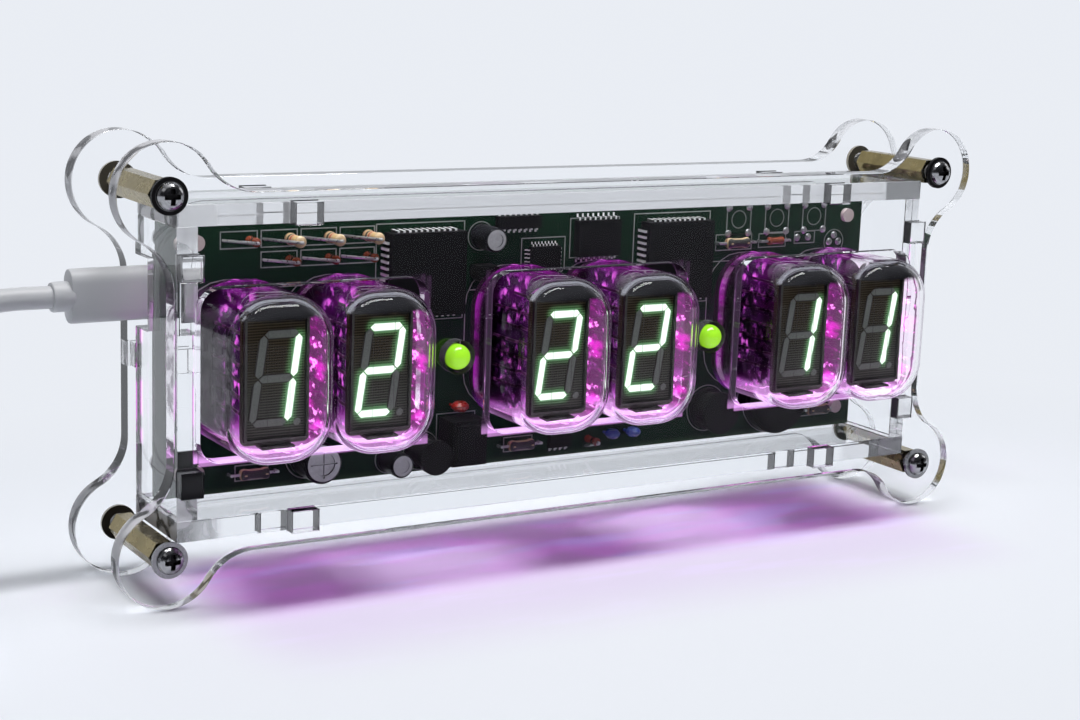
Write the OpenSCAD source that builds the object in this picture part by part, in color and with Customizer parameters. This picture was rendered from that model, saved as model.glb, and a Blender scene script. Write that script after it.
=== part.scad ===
// Desk clock with six vacuum fluorescent display tubes in a clear sheet case.
// Depths are counted from the front face of the front plate towards the back.

/* [Display tubes] */
// Width of a glass bulb
bulb_w = 20.6; // [19:0.1:23]
// Height of a glass bulb
bulb_h = 31; // [29:0.5:35]
// Radius of a bulb's corners, seen from the front
bulb_corner_r = 8.5; // [6:0.5:9]
// Radius of a bulb's shoulder, from its side to its front
bulb_shoulder_r = 5.5; // [3:0.5:6]
// Slope of the dome where it meets the shoulder, in degrees
dome_slope = 16; // [8:1:24]
// Length of a bulb from its dome to its base
bulb_depth = 26.5; // [24:0.5:27]
// Gap between a tube's base and the board
tube_stand = 3.5; // [2.5:0.1:5]
// Thickness of the bulb glass
glass_t = 1; // [0.8:0.1:1.5]
// Thickness of a tube's glass base
base_t = 2; // [1.5:0.1:3]
// Gap between two bulbs of a pair
bulb_gap = 0.4; // [0.3:0.1:2]
// Width of a display plate
plate_w = 13; // [12.6:0.2:14]
// Height of a display plate
plate_h = 24.4; // [23:0.2:26]
// Radius of a display plate's corners
plate_r = 0.8; // [0.4:0.1:2]
// Thickness of a display plate
plate_t = 1.2; // [0.8:0.1:1.6]
// Distance from the dome's tip back to a display plate's face
plate_set = 7.5; // [6.5:0.1:9]
// Depth of the grid frame on a display plate
grid_t = 0.8; // [0.5:0.1:1]
// Width of the grid frame's rim
grid_rim = 0.5; // [0.3:0.1:0.6]
// Diameter of a connecting pin
pin_d = 0.6; // [0.4:0.05:0.8]
// Pins in each of a tube's two rows
pin_count = 6; // [4:1:7]
// Distance between neighbouring pins
pin_pitch = 3; // [2.6:0.1:3.2]
// Distance between a tube's two rows of pins
pin_span = 9; // [8:0.5:10]
// Outer diameter of a getter ring
getter_d = 5; // [4:0.5:6]

/* [Digits] */
// Number that each tube shows, from the left
digits = [1, 2, 2, 2, 1, 1];
// Height of a digit
digit_h = 18; // [16:0.5:19]
// Width of a digit
digit_w = 8.6; // [7:0.2:8.8]
// Width of a segment
segment_w = 1.8; // [1:0.1:2]
// Gap between neighbouring segments
segment_gap = 0.35; // [0.2:0.05:0.5]
// Thickness of a segment
segment_t = 0.2; // [0.1:0.05:0.3]
// Slant of the digits in degrees
slant = 8; // [0:1:10]
// Diameter of the decimal point
point_d = 1.4; // [1:0.1:1.6]

/* [Case] */
// Thickness of the clear sheet
sheet_t = 4; // [3:0.5:5]
// Distance between the front and rear plates
case_depth = 20; // [18:1:26]
// Gap between the end bulbs and the side panels
end_gap = 1.7; // [1:0.1:6]
// Distance from a side panel's outer face to the screws
panel_inset_x = 2.5; // [2.5:0.1:4]
// Distance from the top panel's outer face to the screws
panel_inset_z = 2; // [2:0.1:4]
// Width of the plates' lip past the side panels
lip_x = 1.5; // [0.5:0.1:3]
// Height of the plates' lip past the top and bottom panels
lip_z = 2.3; // [0.5:0.1:3]
// Radius of the plates' round ears
ear_r = 9.5; // [8.5:0.5:12]
// Radius of the hollow curve between an ear and a straight edge
blend_r = 10; // [8:0.5:13]
// Gap between the bulbs and the window at the sides
window_gap_x = 2.2; // [1:0.1:3]
// Gap between the bulbs and the window above and below
window_gap_z = 0.5; // [0.4:0.1:2]
// Radius of a window's corners
window_r = 4; // [2:0.5:5]
// Width of the plate between two windows
bridge_w = 14; // [13:0.5:20]

/* [Tabs] */
// Distance from the middle to the tabs of the top and bottom panels
tab_x = 62; // [55:1:68]
// Width of the tabs of the top and bottom panels
tab_w = 5.2; // [4:0.1:8]
// Distance from mid-height to the front tabs of the side panels
side_tab_z = 19.8; // [15:0.2:21]
// Width of the tabs of the side panels
side_tab_w = 4.5; // [4:0.1:6]
// Clearance of a tab in its slot, each side
tab_clear = 0.1; // [0.05:0.05:0.2]

/* [Fasteners] */
// Width across the flats of a standoff
hex_af = 5; // [4.5:0.1:5.4]
// Diameter of the case screws
screw_d = 3; // [2.5:0.1:3]
// Radial clearance of a screw in its thread
thread_clear = 0.05; // [0.03:0.01:0.1]
// Radial clearance of a screw in a plate
plate_clear = 0.2; // [0.1:0.05:0.4]
// Length of a screw inside its standoff
screw_grip = 6; // [4:0.5:8]
// Diameter of a screw's flange
flange_d = 6.8; // [6:0.1:7.4]
// Thickness of a screw's flange
flange_t = 0.7; // [0.5:0.1:1]
// Diameter of a screw's domed head
head_d = 5.2; // [4.6:0.1:5.8]
// Height of a screw's domed head
head_h = 1.7; // [1.5:0.1:2]
// Width of the cross recess
recess_w = 0.9; // [0.6:0.1:1.2]
// Length of the cross recess
recess_l = 3; // [2.4:0.1:3.4]
// Depth of the cross recess
recess_h = 1; // [0.6:0.1:1.2]

/* [Circuit board] */
// Length of the posts between the board and the rear plate
post_l = 4.4; // [4:0.1:6]
// Thickness of the board
board_t = 1.6; // [1.2:0.1:1.6]
// Gap between the board's edge and the panels
board_clear = 0.5; // [0.3:0.1:1]
// Height of the board above and below the bulbs
strip_h = 11; // [11:0.5:14]
// Distance from the board's edges to its posts
post_inset = 4.5; // [4:0.1:5]
// Diameter of a board post
post_d = 5; // [4.6:0.1:6]
// Diameter of a post's tip in the board
post_tip_d = 3; // [2.6:0.1:3.2]
// How far a post's tip stands out of the board
post_tip_h = 1; // [0.5:0.1:1.5]
// Diameter of the screws in the posts
post_screw_d = 2; // [1.6:0.1:2.2]
// Clearance of a post's tip in the board
tip_clear = 0.05; // [0.03:0.01:0.1]

/* [Board parts] */
// Body width of a driver chip
driver_w = 16.6; // [16:0.1:17]
// Height of a driver chip
driver_h = 4; // [3.6:0.1:4.2]
// Leads on each side of a driver chip
driver_leads = 11; // [9:1:11]
// Distance between the leads of the large chips
lead_pitch = 1.27; // [1.1:0.01:1.3]
// Body size of the clock chip
clock_chip_w = 10.3; // [9.6:0.1:11]
// Body height of the clock chip, between its lead rows
clock_chip_d = 7.5; // [7:0.1:7.6]
// Body width of the controller chip
controller_w = 7; // [6:0.1:7.2]
// Distance between the controller chip's leads
fine_pitch = 0.8; // [0.65:0.01:0.82]
// Thickness of the flat chips
flat_chip_h = 2.3; // [1.6:0.1:2.6]
// Thickness of the thin chips
thin_chip_h = 1.4; // [1:0.1:1.6]
// Reach of the clock chip's leads
lead_reach = 1.3; // [1:0.1:1.4]
// Reach of the thin chips' leads
short_reach = 0.9; // [0.7:0.1:1]
// Body height of the chip at the top edge, between its lead rows
top_chip_d = 2.6; // [2:0.1:3]
// Body height of the chip at the bottom edge, between its lead rows
bottom_chip_d = 3.9; // [3:0.1:4]
// Diameter of the vented capacitor
vent_cap_d = 8; // [7:0.1:8.4]
// Height of the vented capacitor
vent_cap_h = 8; // [6:0.5:10]
// Diameter of the small capacitors
small_cap_d = 5; // [4:0.1:5.2]
// Height of the small capacitors
small_cap_h = 6.5; // [5:0.5:8]
// Diameter of the power inductor
inductor_d = 7.1; // [6.4:0.1:7.4]
// Height of the power inductor
inductor_h = 7; // [5:0.5:8]
// Diameter of the filter inductor
filter_d = 9.2; // [8:0.1:9.6]
// Height of the filter inductor
filter_h = 6; // [4:0.5:7]
// Width of the converter block
converter_w = 7.8; // [7:0.1:8]
// Length of the converter block, up the board
converter_l = 9.2; // [8:0.1:9.6]
// Height of the converter block
converter_h = 7; // [5:0.5:8]
// Diameter of the red disc capacitor
red_disc_d = 3.6; // [3:0.1:4]
// Diameter of the blue disc capacitors
blue_disc_d = 3.2; // [3:0.1:4]
// Thickness of the disc capacitors
disc_t = 1.8; // [1.4:0.1:2]
// Diameter of the buzzer
buzzer_d = 16; // [14:0.5:16]
// Height of the buzzer
buzzer_h = 3.3; // [2.6:0.1:3.4]
// Diameter of a resistor's body
resistor_d = 2.3; // [1.8:0.1:2.5]
// Length of a resistor's body
resistor_l = 6; // [5:0.1:6.5]
// Diameter of a diode's body
diode_d = 1.8; // [1.4:0.1:2]
// Length of a diode's body
diode_l = 4.2; // [3.6:0.1:5]
// Distance between the feet of a standing part
wire_span = 5; // [4:0.1:5.4]
// Length of wire that shows beyond each end of a lying part
wire_reach = 1.8; // [1:0.1:2]
// Distance between the standing resistors
resistor_pitch = 8.2; // [7.6:0.1:8.4]
// Shift of the left driver chip away from the colon light
driver_shift = 0.4; // [0:0.1:0.4]
// Diameter of the wires of resistors, diodes and lights
wire_d = 0.6; // [0.4:0.05:0.7]
// Diameter of the transistor and the temperature sensor
transistor_d = 4.8; // [4:0.1:5]
// Height of the transistor and the temperature sensor
transistor_h = 3.2; // [2.6:0.1:3.3]
// Diameter of the light sensor
sensor_d = 4.8; // [4:0.1:5]
// Thickness of the light sensor
sensor_t = 1.6; // [1.2:0.1:2]
// Height of the light sensor above the board
sensor_lift = 1.6; // [1:0.1:2]
// Diameter of a colon light
colon_d = 5; // [4:0.1:5.4]
// How far a colon light's tip stands in front of the front plate
colon_reach = 1.5; // [0.5:0.1:3]
// Radial gap between a colon light and its hole
colon_gap = 0.75; // [0.4:0.05:1]
// Width of a backlight lamp
lamp_w = 5; // [4:0.1:5.2]
// Height of a backlight lamp
lamp_h = 1.6; // [1.2:0.1:1.8]

/* [Board places] */
// Driver chips: distance from the board's top edge
driver_drop = 12.2; // [11:0.1:13]
// Clock chip: x, and distance from the top edge
clock_chip_at = [10.4, 6.9]; // [-20:0.1:20]
// Controller chip: x, and distance from the top edge
controller_at = [-2, 11.7]; // [-20:0.1:20]
// Small chip at the top edge: x, and distance from the top edge
top_chip_at = [-8.5, 3]; // [-20:0.1:20]
// Small chip at the bottom edge: x, and distance from the bottom edge
bottom_chip_at = [3.2, 4]; // [-20:0.1:20]
// Vented capacitor: x from the left pair of tubes, and distance from the bottom edge
vent_cap_at = [5.6, 5.7]; // [-20:0.1:20]
// Upper small capacitor: x from the left colon light, and distance from the top edge
upper_cap_at = [13.2, 5.6]; // [-20:0.1:20]
// Lower small capacitor: x from the left colon light, and distance from the bottom edge
lower_cap_at = [-6.6, 3.2]; // [-20:0.1:20]
// Power inductor: x from the left colon light, and distance from the bottom edge
inductor_at = [0.8, 4.2]; // [-20:0.1:20]
// Filter inductor: x from the right pair of tubes, and distance from the bottom edge
filter_at = [-18.6, 7]; // [-20:0.1:20]
// Converter block: x from the left colon light, and distance from the bottom edge
converter_at = [8.6, 6.3]; // [-20:0.1:20]
// Red disc capacitor: x from the left colon light, and distance from the bottom edge
red_disc_at = [8.2, 13.2]; // [-20:0.1:20]
// First blue disc capacitor: x from the right colon light, and distance from the bottom edge
blue_disc_at = [-14.4, 4]; // [-20:0.1:20]
// Distance between the blue disc capacitors
blue_disc_pitch = 5.2; // [4:0.1:6]
// First standing resistor: x from the left pair of tubes, and distance from the top edge
resistor_at = [1, 4.3]; // [-20:0.1:20]
// Distance between the rows of resistors and diodes
resistor_row = 4; // [3:0.1:4.2]
// Upper lying resistor: x from the right pair of tubes, and distance from the top edge
right_resistor_at = [-13.5, 9.4]; // [-20:0.1:20]
// Upper lying diode: x from the right pair of tubes, and distance from the top edge
right_diode_at = [-3, 9.4]; // [-20:0.1:20]
// Lower left lying resistor: x from the left pair of tubes
low_left_x = -6; // [-8:0.1:0]
// Lower middle lying resistor: x from the middle of the board
low_middle_x = -6.5; // [-7:0.1:-6]
// Distance from the bottom edge to the lying resistors
low_resistor_drop = 3.5; // [3:0.1:5]
// Short lying resistor: x from the board's right edge, and distance from the bottom edge
corner_resistor_at = [-10.2, 4.4]; // [-20:0.1:20]
// Standing diode at the bottom edge: x, and distance from the bottom edge
low_diode_at = [10.2, 3.2]; // [0:0.1:20]
// Transistor: x from the left colon light, and distance from the top edge
transistor_at = [13.2, 12.4]; // [-20:0.1:20]
// Temperature sensor on the rear: x from the board's right edge, and distance from the top edge
temperature_at = [-7.6, 10.4]; // [-20:0.1:20]
// Light sensor on the rear: x from the board's right edge, and distance from the top edge
light_sensor_at = [-16.8, 10.2]; // [-20:0.1:20]
// Buzzer: x from the right pair of tubes, and distance from the bottom edge
buzzer_at = [-0.5, 8.2]; // [-20:0.1:20]

/* [Switches] */
// Width of a switch body
switch_w = 6; // [5:0.1:6.4]
// Height of a switch body
switch_h = 3.5; // [3:0.1:3.7]
// Distance between the switches
switch_pitch = 10.4; // [9:0.1:10.6]
// Distance from the board's right edge to the last switch
switch_edge = 13.6; // [12:0.1:16]
// Distance from the board's top edge to the switches
switch_inset = 4.5; // [4:0.1:5]
// Thickness of the floor under a button
switch_floor = 1.3; // [1:0.1:1.6]
// Diameter of a push button
button_d = 3.4; // [3:0.1:3.8]
// How far a button stands out of the rear plate
button_reach = 1.2; // [0.8:0.1:2]
// Radial clearance of a button in its switch
button_clear = 0.06; // [0.03:0.01:0.08]
// Radial gap between a button and the rear plate
button_hole_gap = 0.5; // [0.3:0.05:0.8]
// Travel of a button
button_travel = 0.3; // [0.2:0.05:0.5]

/* [Power lead] */
// Height of the socket above the middle of the board
socket_z = 12.5; // [11:0.5:13]
// Width of the plug's metal shell
shell_w = 6.8; // [6:0.1:7]
// Thickness of the plug's metal shell
shell_t = 1.8; // [1.6:0.1:2]
// Length of the plug's metal shell
shell_l = 5; // [4.5:0.1:5.5]
// Wall of the metal shells
shell_wall = 0.3; // [0.2:0.05:0.35]
// Clearance of the shell in its socket, each side
shell_clear = 0.1; // [0.05:0.01:0.12]
// Wall of the socket
socket_wall = 0.35; // [0.3:0.05:0.4]
// How far the socket stands past the edge of the board
socket_reach = 1.2; // [0.6:0.1:1.4]
// Width of the plug's grip
grip_w = 10.2; // [9:0.1:10.6]
// Thickness of the plug's grip
grip_t = 5.2; // [4.6:0.1:5.4]
// Length of the plug's grip
grip_l = 16.8; // [15:0.1:20]
// Gap between the grip and the socket
grip_gap = 0.4; // [0.3:0.1:0.6]
// Diameter of the collar behind the grip
collar_d = 5.6; // [5:0.1:6]
// Length of the collar
collar_l = 3.2; // [2:0.1:5]
// Gap between the grip and the notch in the side panel
notch_gap = 1.7; // [0.5:0.1:2]
// Diameter of the cable
cable_d = 4.2; // [4:0.1:4.4]
// Width of the supply plug's grip
supply_w = 15.6; // [14:0.1:17]
// Thickness of the supply plug's grip
supply_t = 8; // [7:0.1:9]
// Length of the supply plug's grip
supply_l = 20; // [16:0.5:26]
// Width of the supply plug's metal shell
supply_shell_w = 12; // [11:0.1:12.2]
// Thickness of the supply plug's metal shell
supply_shell_t = 4.5; // [4:0.1:4.6]
// Length of the supply plug's metal shell
supply_shell_l = 12; // [10:0.5:14]

/* [Coil] */
// Turns of the coiled cable
coil_turns = 6.25; // [4.25:1:8.25]
// Layers of the coil, wound in and out in turn
coil_layers = 4; // [2:2:4]
// Least radius of the coil's turns
coil_r = 17.2; // [16.8:0.1:20]
// Gap between neighbouring turns
coil_gap = 0.7; // [0.6:0.05:1]
// Gap between neighbouring layers
layer_gap = 0.5; // [0.45:0.05:0.8]
// Width of the tie
tie_w = 6; // [4:0.5:8]
// Thickness of the tie
tie_t = 0.6; // [0.4:0.1:1]
// Clearance between the tie and the turns
tie_clear = 0.4; // [0.3:0.1:0.6]
// Gap between the tie and the supply plug beside it
supply_gap = 0.6; // [0.4:0.1:5]

/* [Hidden] */
$fn = 48;
tiny = 0.01;
// Depths, from the rear plate forwards to the domes
rear_front = sheet_t + case_depth;
rear_back = rear_front + sheet_t;
board_back = rear_front - post_l;
board_depth = board_back - board_t;
bulb_back = board_depth - tube_stand;
bulb_reach = bulb_depth - bulb_back;
plate_reach = bulb_reach - plate_set;
// Tubes and windows
tube_pitch = bulb_w + bulb_gap;
window_w = tube_pitch + bulb_w + 2 * window_gap_x;
window_h = bulb_h + 2 * window_gap_z;
pair_pitch = window_w + bridge_w;
tube_x = [for (pair = [-1:1], side = [-0.5, 0.5]) pair * pair_pitch + side * tube_pitch];
dome_h = tan(dome_slope) * (bulb_w / 2 - bulb_shoulder_r * (1 - sin(dome_slope))) / 2;
getter_z = bulb_h / 2 - glass_t - getter_d / 2 - 0.5;
// Case, from the inside out
inner_x = pair_pitch + tube_pitch / 2 + bulb_w / 2 + end_gap;
board_w = 2 * (inner_x - board_clear);
board_h = bulb_h + 2 * strip_h;
board_x = board_w / 2;
board_z = board_h / 2;
inner_z = board_z + board_clear;
box_x = inner_x + sheet_t;
box_z = inner_z + sheet_t;
screw_x = box_x + panel_inset_x;
screw_z = box_z + panel_inset_z;
waist_x = box_x + lip_x;
waist_z = box_z + lip_z;
// One corner of a plate, from the side edge over the ear to the top edge
function arc(centre, r, from, to, steps, first) =
    [for (k = [first:steps]) let (a = from + (to - from) * k / steps) centre + r * [cos(a), sin(a)]];
side_z = screw_z - sqrt(pow(ear_r + blend_r, 2) - pow(waist_x + blend_r - screw_x, 2));
top_x = screw_x - sqrt(pow(ear_r + blend_r, 2) - pow(waist_z + blend_r - screw_z, 2));
side_turn = atan2(screw_z - side_z, screw_x - waist_x - blend_r);
top_turn = atan2(waist_z + blend_r - screw_z, top_x - screw_x);
ear_corner = concat(
    arc([waist_x + blend_r, side_z], blend_r, 180, side_turn, 8, 0),
    arc([screw_x, screw_z], ear_r, side_turn - 180, top_turn, 28, 1),
    arc([top_x, waist_z + blend_r], blend_r, top_turn - 180, -90, 8, 1)
);
// Frame: the ears stand at height 0 and the depth is centred
middle_z = screw_z + ear_r;
face_y = (bulb_reach - rear_back - max(flange_t + head_h, button_reach)) / 2;
// Board
post_x = board_x - post_inset;
post_z = board_z - post_inset;
switch_z = board_z - switch_inset;
switch_x = board_x - switch_edge - switch_pitch;
// Height of a place on the board, counted from the board's top or bottom edge
function top_edge(d) = board_z - d;
function bottom_edge(d) = d - board_z;
// Lead
socket_w = shell_w + 2 * (shell_clear + socket_wall);
socket_t = shell_t + 2 * (shell_clear + socket_wall);
socket_y = face_y + board_back + socket_t / 2;
mouth_x = -board_x - socket_reach;
lead_z = middle_z + socket_z;
grip_x = mouth_x - grip_gap;
collar_x = grip_x - grip_l;
notch_h = grip_w + 2 * notch_gap;
notch_depth = socket_y - face_y - grip_t / 2 - notch_gap / 2;
cable_r = cable_d / 2;
exit_point = [collar_x - collar_l, socket_y, lead_z];
// The cable's way to its coil: steps from the collar in x and y, and the share of the height left
cable_way = [
    [0, 0, 1], [-7, 0, 1], [-11.5, 0, 0.99], [-15.8, 0, 0.955], [-19.4, 0, 0.9], [-22, 0, 0.83],
    [-23.6, 0, 0.75], [-24, 0, 0.66], [-24, 0, 0.5], [-24, 0, 0.34], [-24, -0.5, 0.25], [-24, -2.2, 0.17],
    [-24, -5, 0.1], [-24, -8.6, 0.045], [-24, -12.8, 0.01], [-24, -17, 0], [-24, -21, 0]
];
coil_rest = tie_t + tie_clear / 2;
coil_low = cable_r + coil_rest;
coil_step = cable_d + coil_gap;
layer_step = cable_d + layer_gap;
layer_turns = coil_turns / coil_layers;
coil_out = coil_r + coil_step * layer_turns;
cable_points = [
    for (p = cable_way) [exit_point[0] + p[0], socket_y + p[1], coil_low + p[2] * (lead_z - coil_low)]
];
// Rings for one turn and sides of the coiled tube
turn_rings = 24;
coil_sides = 6;
cable_sides = 10;
// The coil winds in and out in turn, and climbs a layer where it turns round
coil_start = cable_points[len(cable_points) - 1];
coil_centre = coil_start - [coil_out, cable_d, 0];
function ease(t) = let (s = min(max(t, 0), 1)) s * s * (3 - 2 * s);
function total(list, i = 0) = i < len(list) ? list[i] + total(list, i + 1) : 0;
function coil_radius(u) = coil_r + coil_step * abs(u % (2 * layer_turns) - layer_turns);
function coil_climb(u) = total([for (k = [1:coil_layers - 1]) ease(2 * (u - k * layer_turns) + 0.5)]);
function coil_place(u, r, z) = coil_centre + [r * cos(-360 * u), r * sin(-360 * u), z];
coil_top = (coil_layers - 1) * layer_step;
coil_count = coil_turns * turn_rings;
coil_turn_points = [
    for (k = [0:coil_count])
        let (u = k / turn_rings)
        coil_place(u, coil_radius(u), layer_step * coil_climb(u))
];
// The tie goes round the turns half a turn from where the coil starts
tie_radii = [for (u = [0.5:1:coil_turns]) coil_radius(u)];
tie_inner = min(tie_radii) - cable_r - tie_clear - tie_w * tie_w / (8 * coil_r);
tie_outer = max(tie_radii) + cable_r + tie_clear;
// Tail: a quarter turn outside the coil, down to the supply plug that lies beside it
supply_z = supply_t / 2;
tail_r = tie_outer + tie_t + supply_gap + supply_w / 2;
tail_drop = coil_low + coil_top - supply_z;
tail_points = [
    for (t = [0.125:0.125:1])
        coil_place(coil_turns + t / 4, coil_out + (tail_r - coil_out) * ease(t),
            coil_top - tail_drop * ease((t - 0.3) / 0.7))
];
tail_end = tail_points[len(tail_points) - 1] + [0, cable_d, 0];
coil_points = concat([coil_start], coil_turn_points, tail_points, [tail_end]);
// Least gap between one stretch of the lead and another
lead_points = concat(cable_points, coil_points);
lead_last = len(lead_points) - 1;
coil_least = min([
    for (i = [0:lead_last], k = [i + turn_rings / 2:1:lead_last])
        norm(lead_points[i] - lead_points[k])
]) - cable_d;
echo(coil_least_gap = coil_least);

// Which segments light for each numeral, clockwise from the top one, and the middle one last
numeral = [
    [1, 1, 1, 1, 1, 1, 0], [0, 1, 1, 0, 0, 0, 0], [1, 1, 0, 1, 1, 0, 1], [1, 1, 1, 1, 0, 0, 1],
    [0, 1, 1, 0, 0, 1, 1], [1, 0, 1, 1, 0, 1, 1], [1, 0, 1, 1, 1, 1, 1], [1, 1, 1, 0, 0, 0, 0],
    [1, 1, 1, 1, 1, 1, 1], [1, 1, 1, 1, 0, 1, 1]
];

// Placing

// Extrudes an outline, drawn in x and height from the middle, between two depths
module slab(front, back) {
    translate([0, face_y + back, middle_z])
        rotate([90, 0, 0])
            linear_extrude(back - front)
                children();
}

// Puts a shape on the board's front, its z axis towards the viewer
module on_board(x, z) {
    translate([x, face_y + board_depth, middle_z + z])
        rotate([90, 0, 0])
            children();
}

// Puts a shape on the board's front, counted from the board's top edge and from a place along it
module near_top(place, from = 0) {
    on_board(from + place[0], top_edge(place[1]))
        children();
}

// Puts a shape on the board's front, counted from the board's bottom edge and from a place along it
module near_bottom(place, from = 0) {
    on_board(from + place[0], bottom_edge(place[1]))
        children();
}

// Puts a shape on the board's rear, its z axis towards the back and its y axis down
module behind_board(x, z) {
    translate([x, face_y + board_back, middle_z + z])
        rotate([-90, 0, 0])
            children();
}

// Puts a shape at a depth, its z axis towards the back and its y axis down
module facing_back(x, depth, z) {
    translate([x, face_y + depth, middle_z + z])
        rotate([-90, 0, 0])
            children();
}

module four_corners(x, z) {
    for (sx = [-1, 1], sz = [-1, 1])
        translate([sx * x, sz * z])
            children();
}

module centred_box(size) {
    translate([-size[0] / 2, -size[1] / 2, 0])
        cube(size);
}

module rounded_outline(w, h, r) {
    square([w - 2 * r, h], center = true);
    square([w, h - 2 * r], center = true);
    four_corners(w / 2 - r, h / 2 - r)
        circle(r);
}

// Joins rings of points into one closed skin of triangles
module loft(rings) {
    n = len(rings[0]);
    last = len(rings) - 1;
    sides = [
        for (i = [0:last - 1], j = [0:n - 1])
            each [
                [i * n + j, i * n + (j + 1) % n, (i + 1) * n + (j + 1) % n],
                [i * n + j, (i + 1) * n + (j + 1) % n, (i + 1) * n + j]
            ]
    ];
    start_cap = [for (j = [1:n - 2]) [0, j + 1, j]];
    end_cap = [for (j = [1:n - 2]) [last * n, last * n + j, last * n + j + 1]];
    polyhedron([for (ring = rings) each ring], concat(sides, start_cap, end_cap));
}

// Direction of a list of points at each of them
function headings(way) = [
    for (i = [0:len(way) - 1])
        let (along = way[min(i + 1, len(way) - 1)] - way[max(i - 1, 0)]) along / norm(along)
];

// A side direction carried along the headings without twist
function carried(side, ahead) = let (s = side - (side * ahead) * ahead) s / norm(s);
function sideways(ahead, side, i = 0) =
    i == len(ahead) ? [] : let (s = carried(side, ahead[i])) concat([s], sideways(ahead, s, i + 1));

// Rings along a list of points that starts level, square to the way at each
function cord_rings(way, r, sides) =
    let (ahead = headings(way), across = sideways(ahead, cross([0, 0, 1], ahead[0])))
    [for (i = [0:len(way) - 1])
        let (s = across[i], u = cross(ahead[i], s))
        [for (j = [0:sides - 1]) way[i] + r * (cos(360 * j / sides) * s - sin(360 * j / sides) * u)]];

// Case

module plate_outline() {
    polygon(concat(
        ear_corner,
        [for (k = [len(ear_corner) - 1:-1:0]) [-ear_corner[k][0], ear_corner[k][1]]],
        [for (p = ear_corner) -p],
        [for (k = [len(ear_corner) - 1:-1:0]) [ear_corner[k][0], -ear_corner[k][1]]]
    ));
}

module slot(w, h) {
    square([w + 2 * tab_clear, h + 2 * tab_clear], center = true);
}

module panel_slots() {
    four_corners(tab_x, box_z - sheet_t / 2)
        slot(tab_w, sheet_t);
}

module screw_holes() {
    four_corners(screw_x, screw_z)
        circle(screw_d / 2 + plate_clear);
}

module front_plate() {
    color("aliceblue", 0.4)
        slab(0, sheet_t)
            difference() {
                plate_outline();
                screw_holes();
                panel_slots();
                four_corners(box_x - sheet_t / 2, side_tab_z)
                    slot(sheet_t, side_tab_w);
                for (pair = [-1:1])
                    translate([pair * pair_pitch, 0])
                        rounded_outline(window_w, window_h, window_r);
                for (side = [-1, 1])
                    translate([side * pair_pitch / 2, 0])
                        circle(colon_d / 2 + colon_gap);
            }
}

module rear_plate() {
    color("aliceblue", 0.4)
        slab(rear_front, rear_back)
            difference() {
                plate_outline();
                screw_holes();
                panel_slots();
                for (side = [-1, 1])
                    translate([side * (box_x - sheet_t / 2), 0])
                        slot(sheet_t, side_tab_w);
                four_corners(post_x, post_z)
                    circle(post_screw_d / 2 + plate_clear);
                for (i = [-1:1])
                    translate([switch_x + i * switch_pitch, switch_z])
                        circle(button_d / 2 + button_hole_gap);
            }
}

// Panel above or below the board, with two tabs in each plate
module level_panel(side) {
    z = side * (box_z - sheet_t / 2);
    color("aliceblue", 0.4) {
        slab(sheet_t, rear_front)
            translate([0, z])
                square([2 * box_x, sheet_t], center = true);
        slab(0, sheet_t + tiny)
            level_tabs(z);
        slab(rear_front - tiny, rear_back)
            level_tabs(z);
    }
}

module level_tabs(z) {
    for (sx = [-1, 1])
        translate([sx * tab_x, z])
            square([tab_w, sheet_t], center = true);
}

module top_panel() level_panel(1);
module bottom_panel() level_panel(-1);

// Panel at one end, with two tabs in the front plate and one in the rear plate
module end_panel(side) {
    x = side * (box_x - sheet_t / 2);
    slab(sheet_t, rear_front)
        translate([x, 0])
            square([sheet_t, 2 * inner_z], center = true);
    slab(0, sheet_t + tiny)
        for (sz = [-1, 1])
            translate([x, sz * side_tab_z])
                square([sheet_t, side_tab_w], center = true);
    slab(rear_front - tiny, rear_back)
        translate([x, 0])
            square([sheet_t, side_tab_w], center = true);
}

module left_panel() {
    color("aliceblue", 0.4)
        difference() {
            end_panel(-1);
            slab(notch_depth, rear_front + tiny)
                translate([-box_x + sheet_t / 2, socket_z])
                    square([2 * sheet_t, notch_h], center = true);
        }
}

module right_panel() {
    color("aliceblue", 0.4)
        end_panel(1);
}

// Fasteners

module case_standoffs() {
    color("darkkhaki")
        for (sx = [-1, 1], sz = [-1, 1])
            facing_back(sx * screw_x, sheet_t, sz * screw_z)
                difference() {
                    cylinder(d = hex_af / cos(30), h = case_depth, $fn = 6);
                    translate([0, 0, -tiny])
                        cylinder(d = screw_d + 2 * thread_clear, h = case_depth + 2 * tiny);
                }
}

// Screw with its shank along z from 0 and its head below 0
module pan_screw(d, shank, scale_head) {
    difference() {
        union() {
            cylinder(d = d, h = shank);
            mirror([0, 0, 1]) {
                cylinder(d = flange_d * scale_head, h = flange_t);
                translate([0, 0, flange_t - tiny])
                    rotate_extrude()
                        polygon([[0, 0], each head_arc(head_d / 2 * scale_head), [0, head_h + tiny]]);
            }
        }
        for (turn = [0, 90])
            rotate([0, 0, turn])
                translate([0, 0, -flange_t - head_h - tiny])
                    centred_box([recess_l * scale_head, recess_w * scale_head, recess_h + tiny]);
    }
}

// Outline of a screw's dome, a quarter ellipse with a flat top
function head_arc(r) = [for (a = [0:15:75]) [r * cos(a), (head_h + tiny) * sin(a) / sin(75)]];

module case_screws() {
    color("silver")
        for (sx = [-1, 1], sz = [-1, 1]) {
            facing_back(sx * screw_x, 0, sz * screw_z)
                pan_screw(screw_d, sheet_t + screw_grip, 1);
            facing_back(sx * screw_x, rear_back, sz * screw_z)
                mirror([0, 0, 1])
                    pan_screw(screw_d, sheet_t + screw_grip, 1);
        }
}

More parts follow.
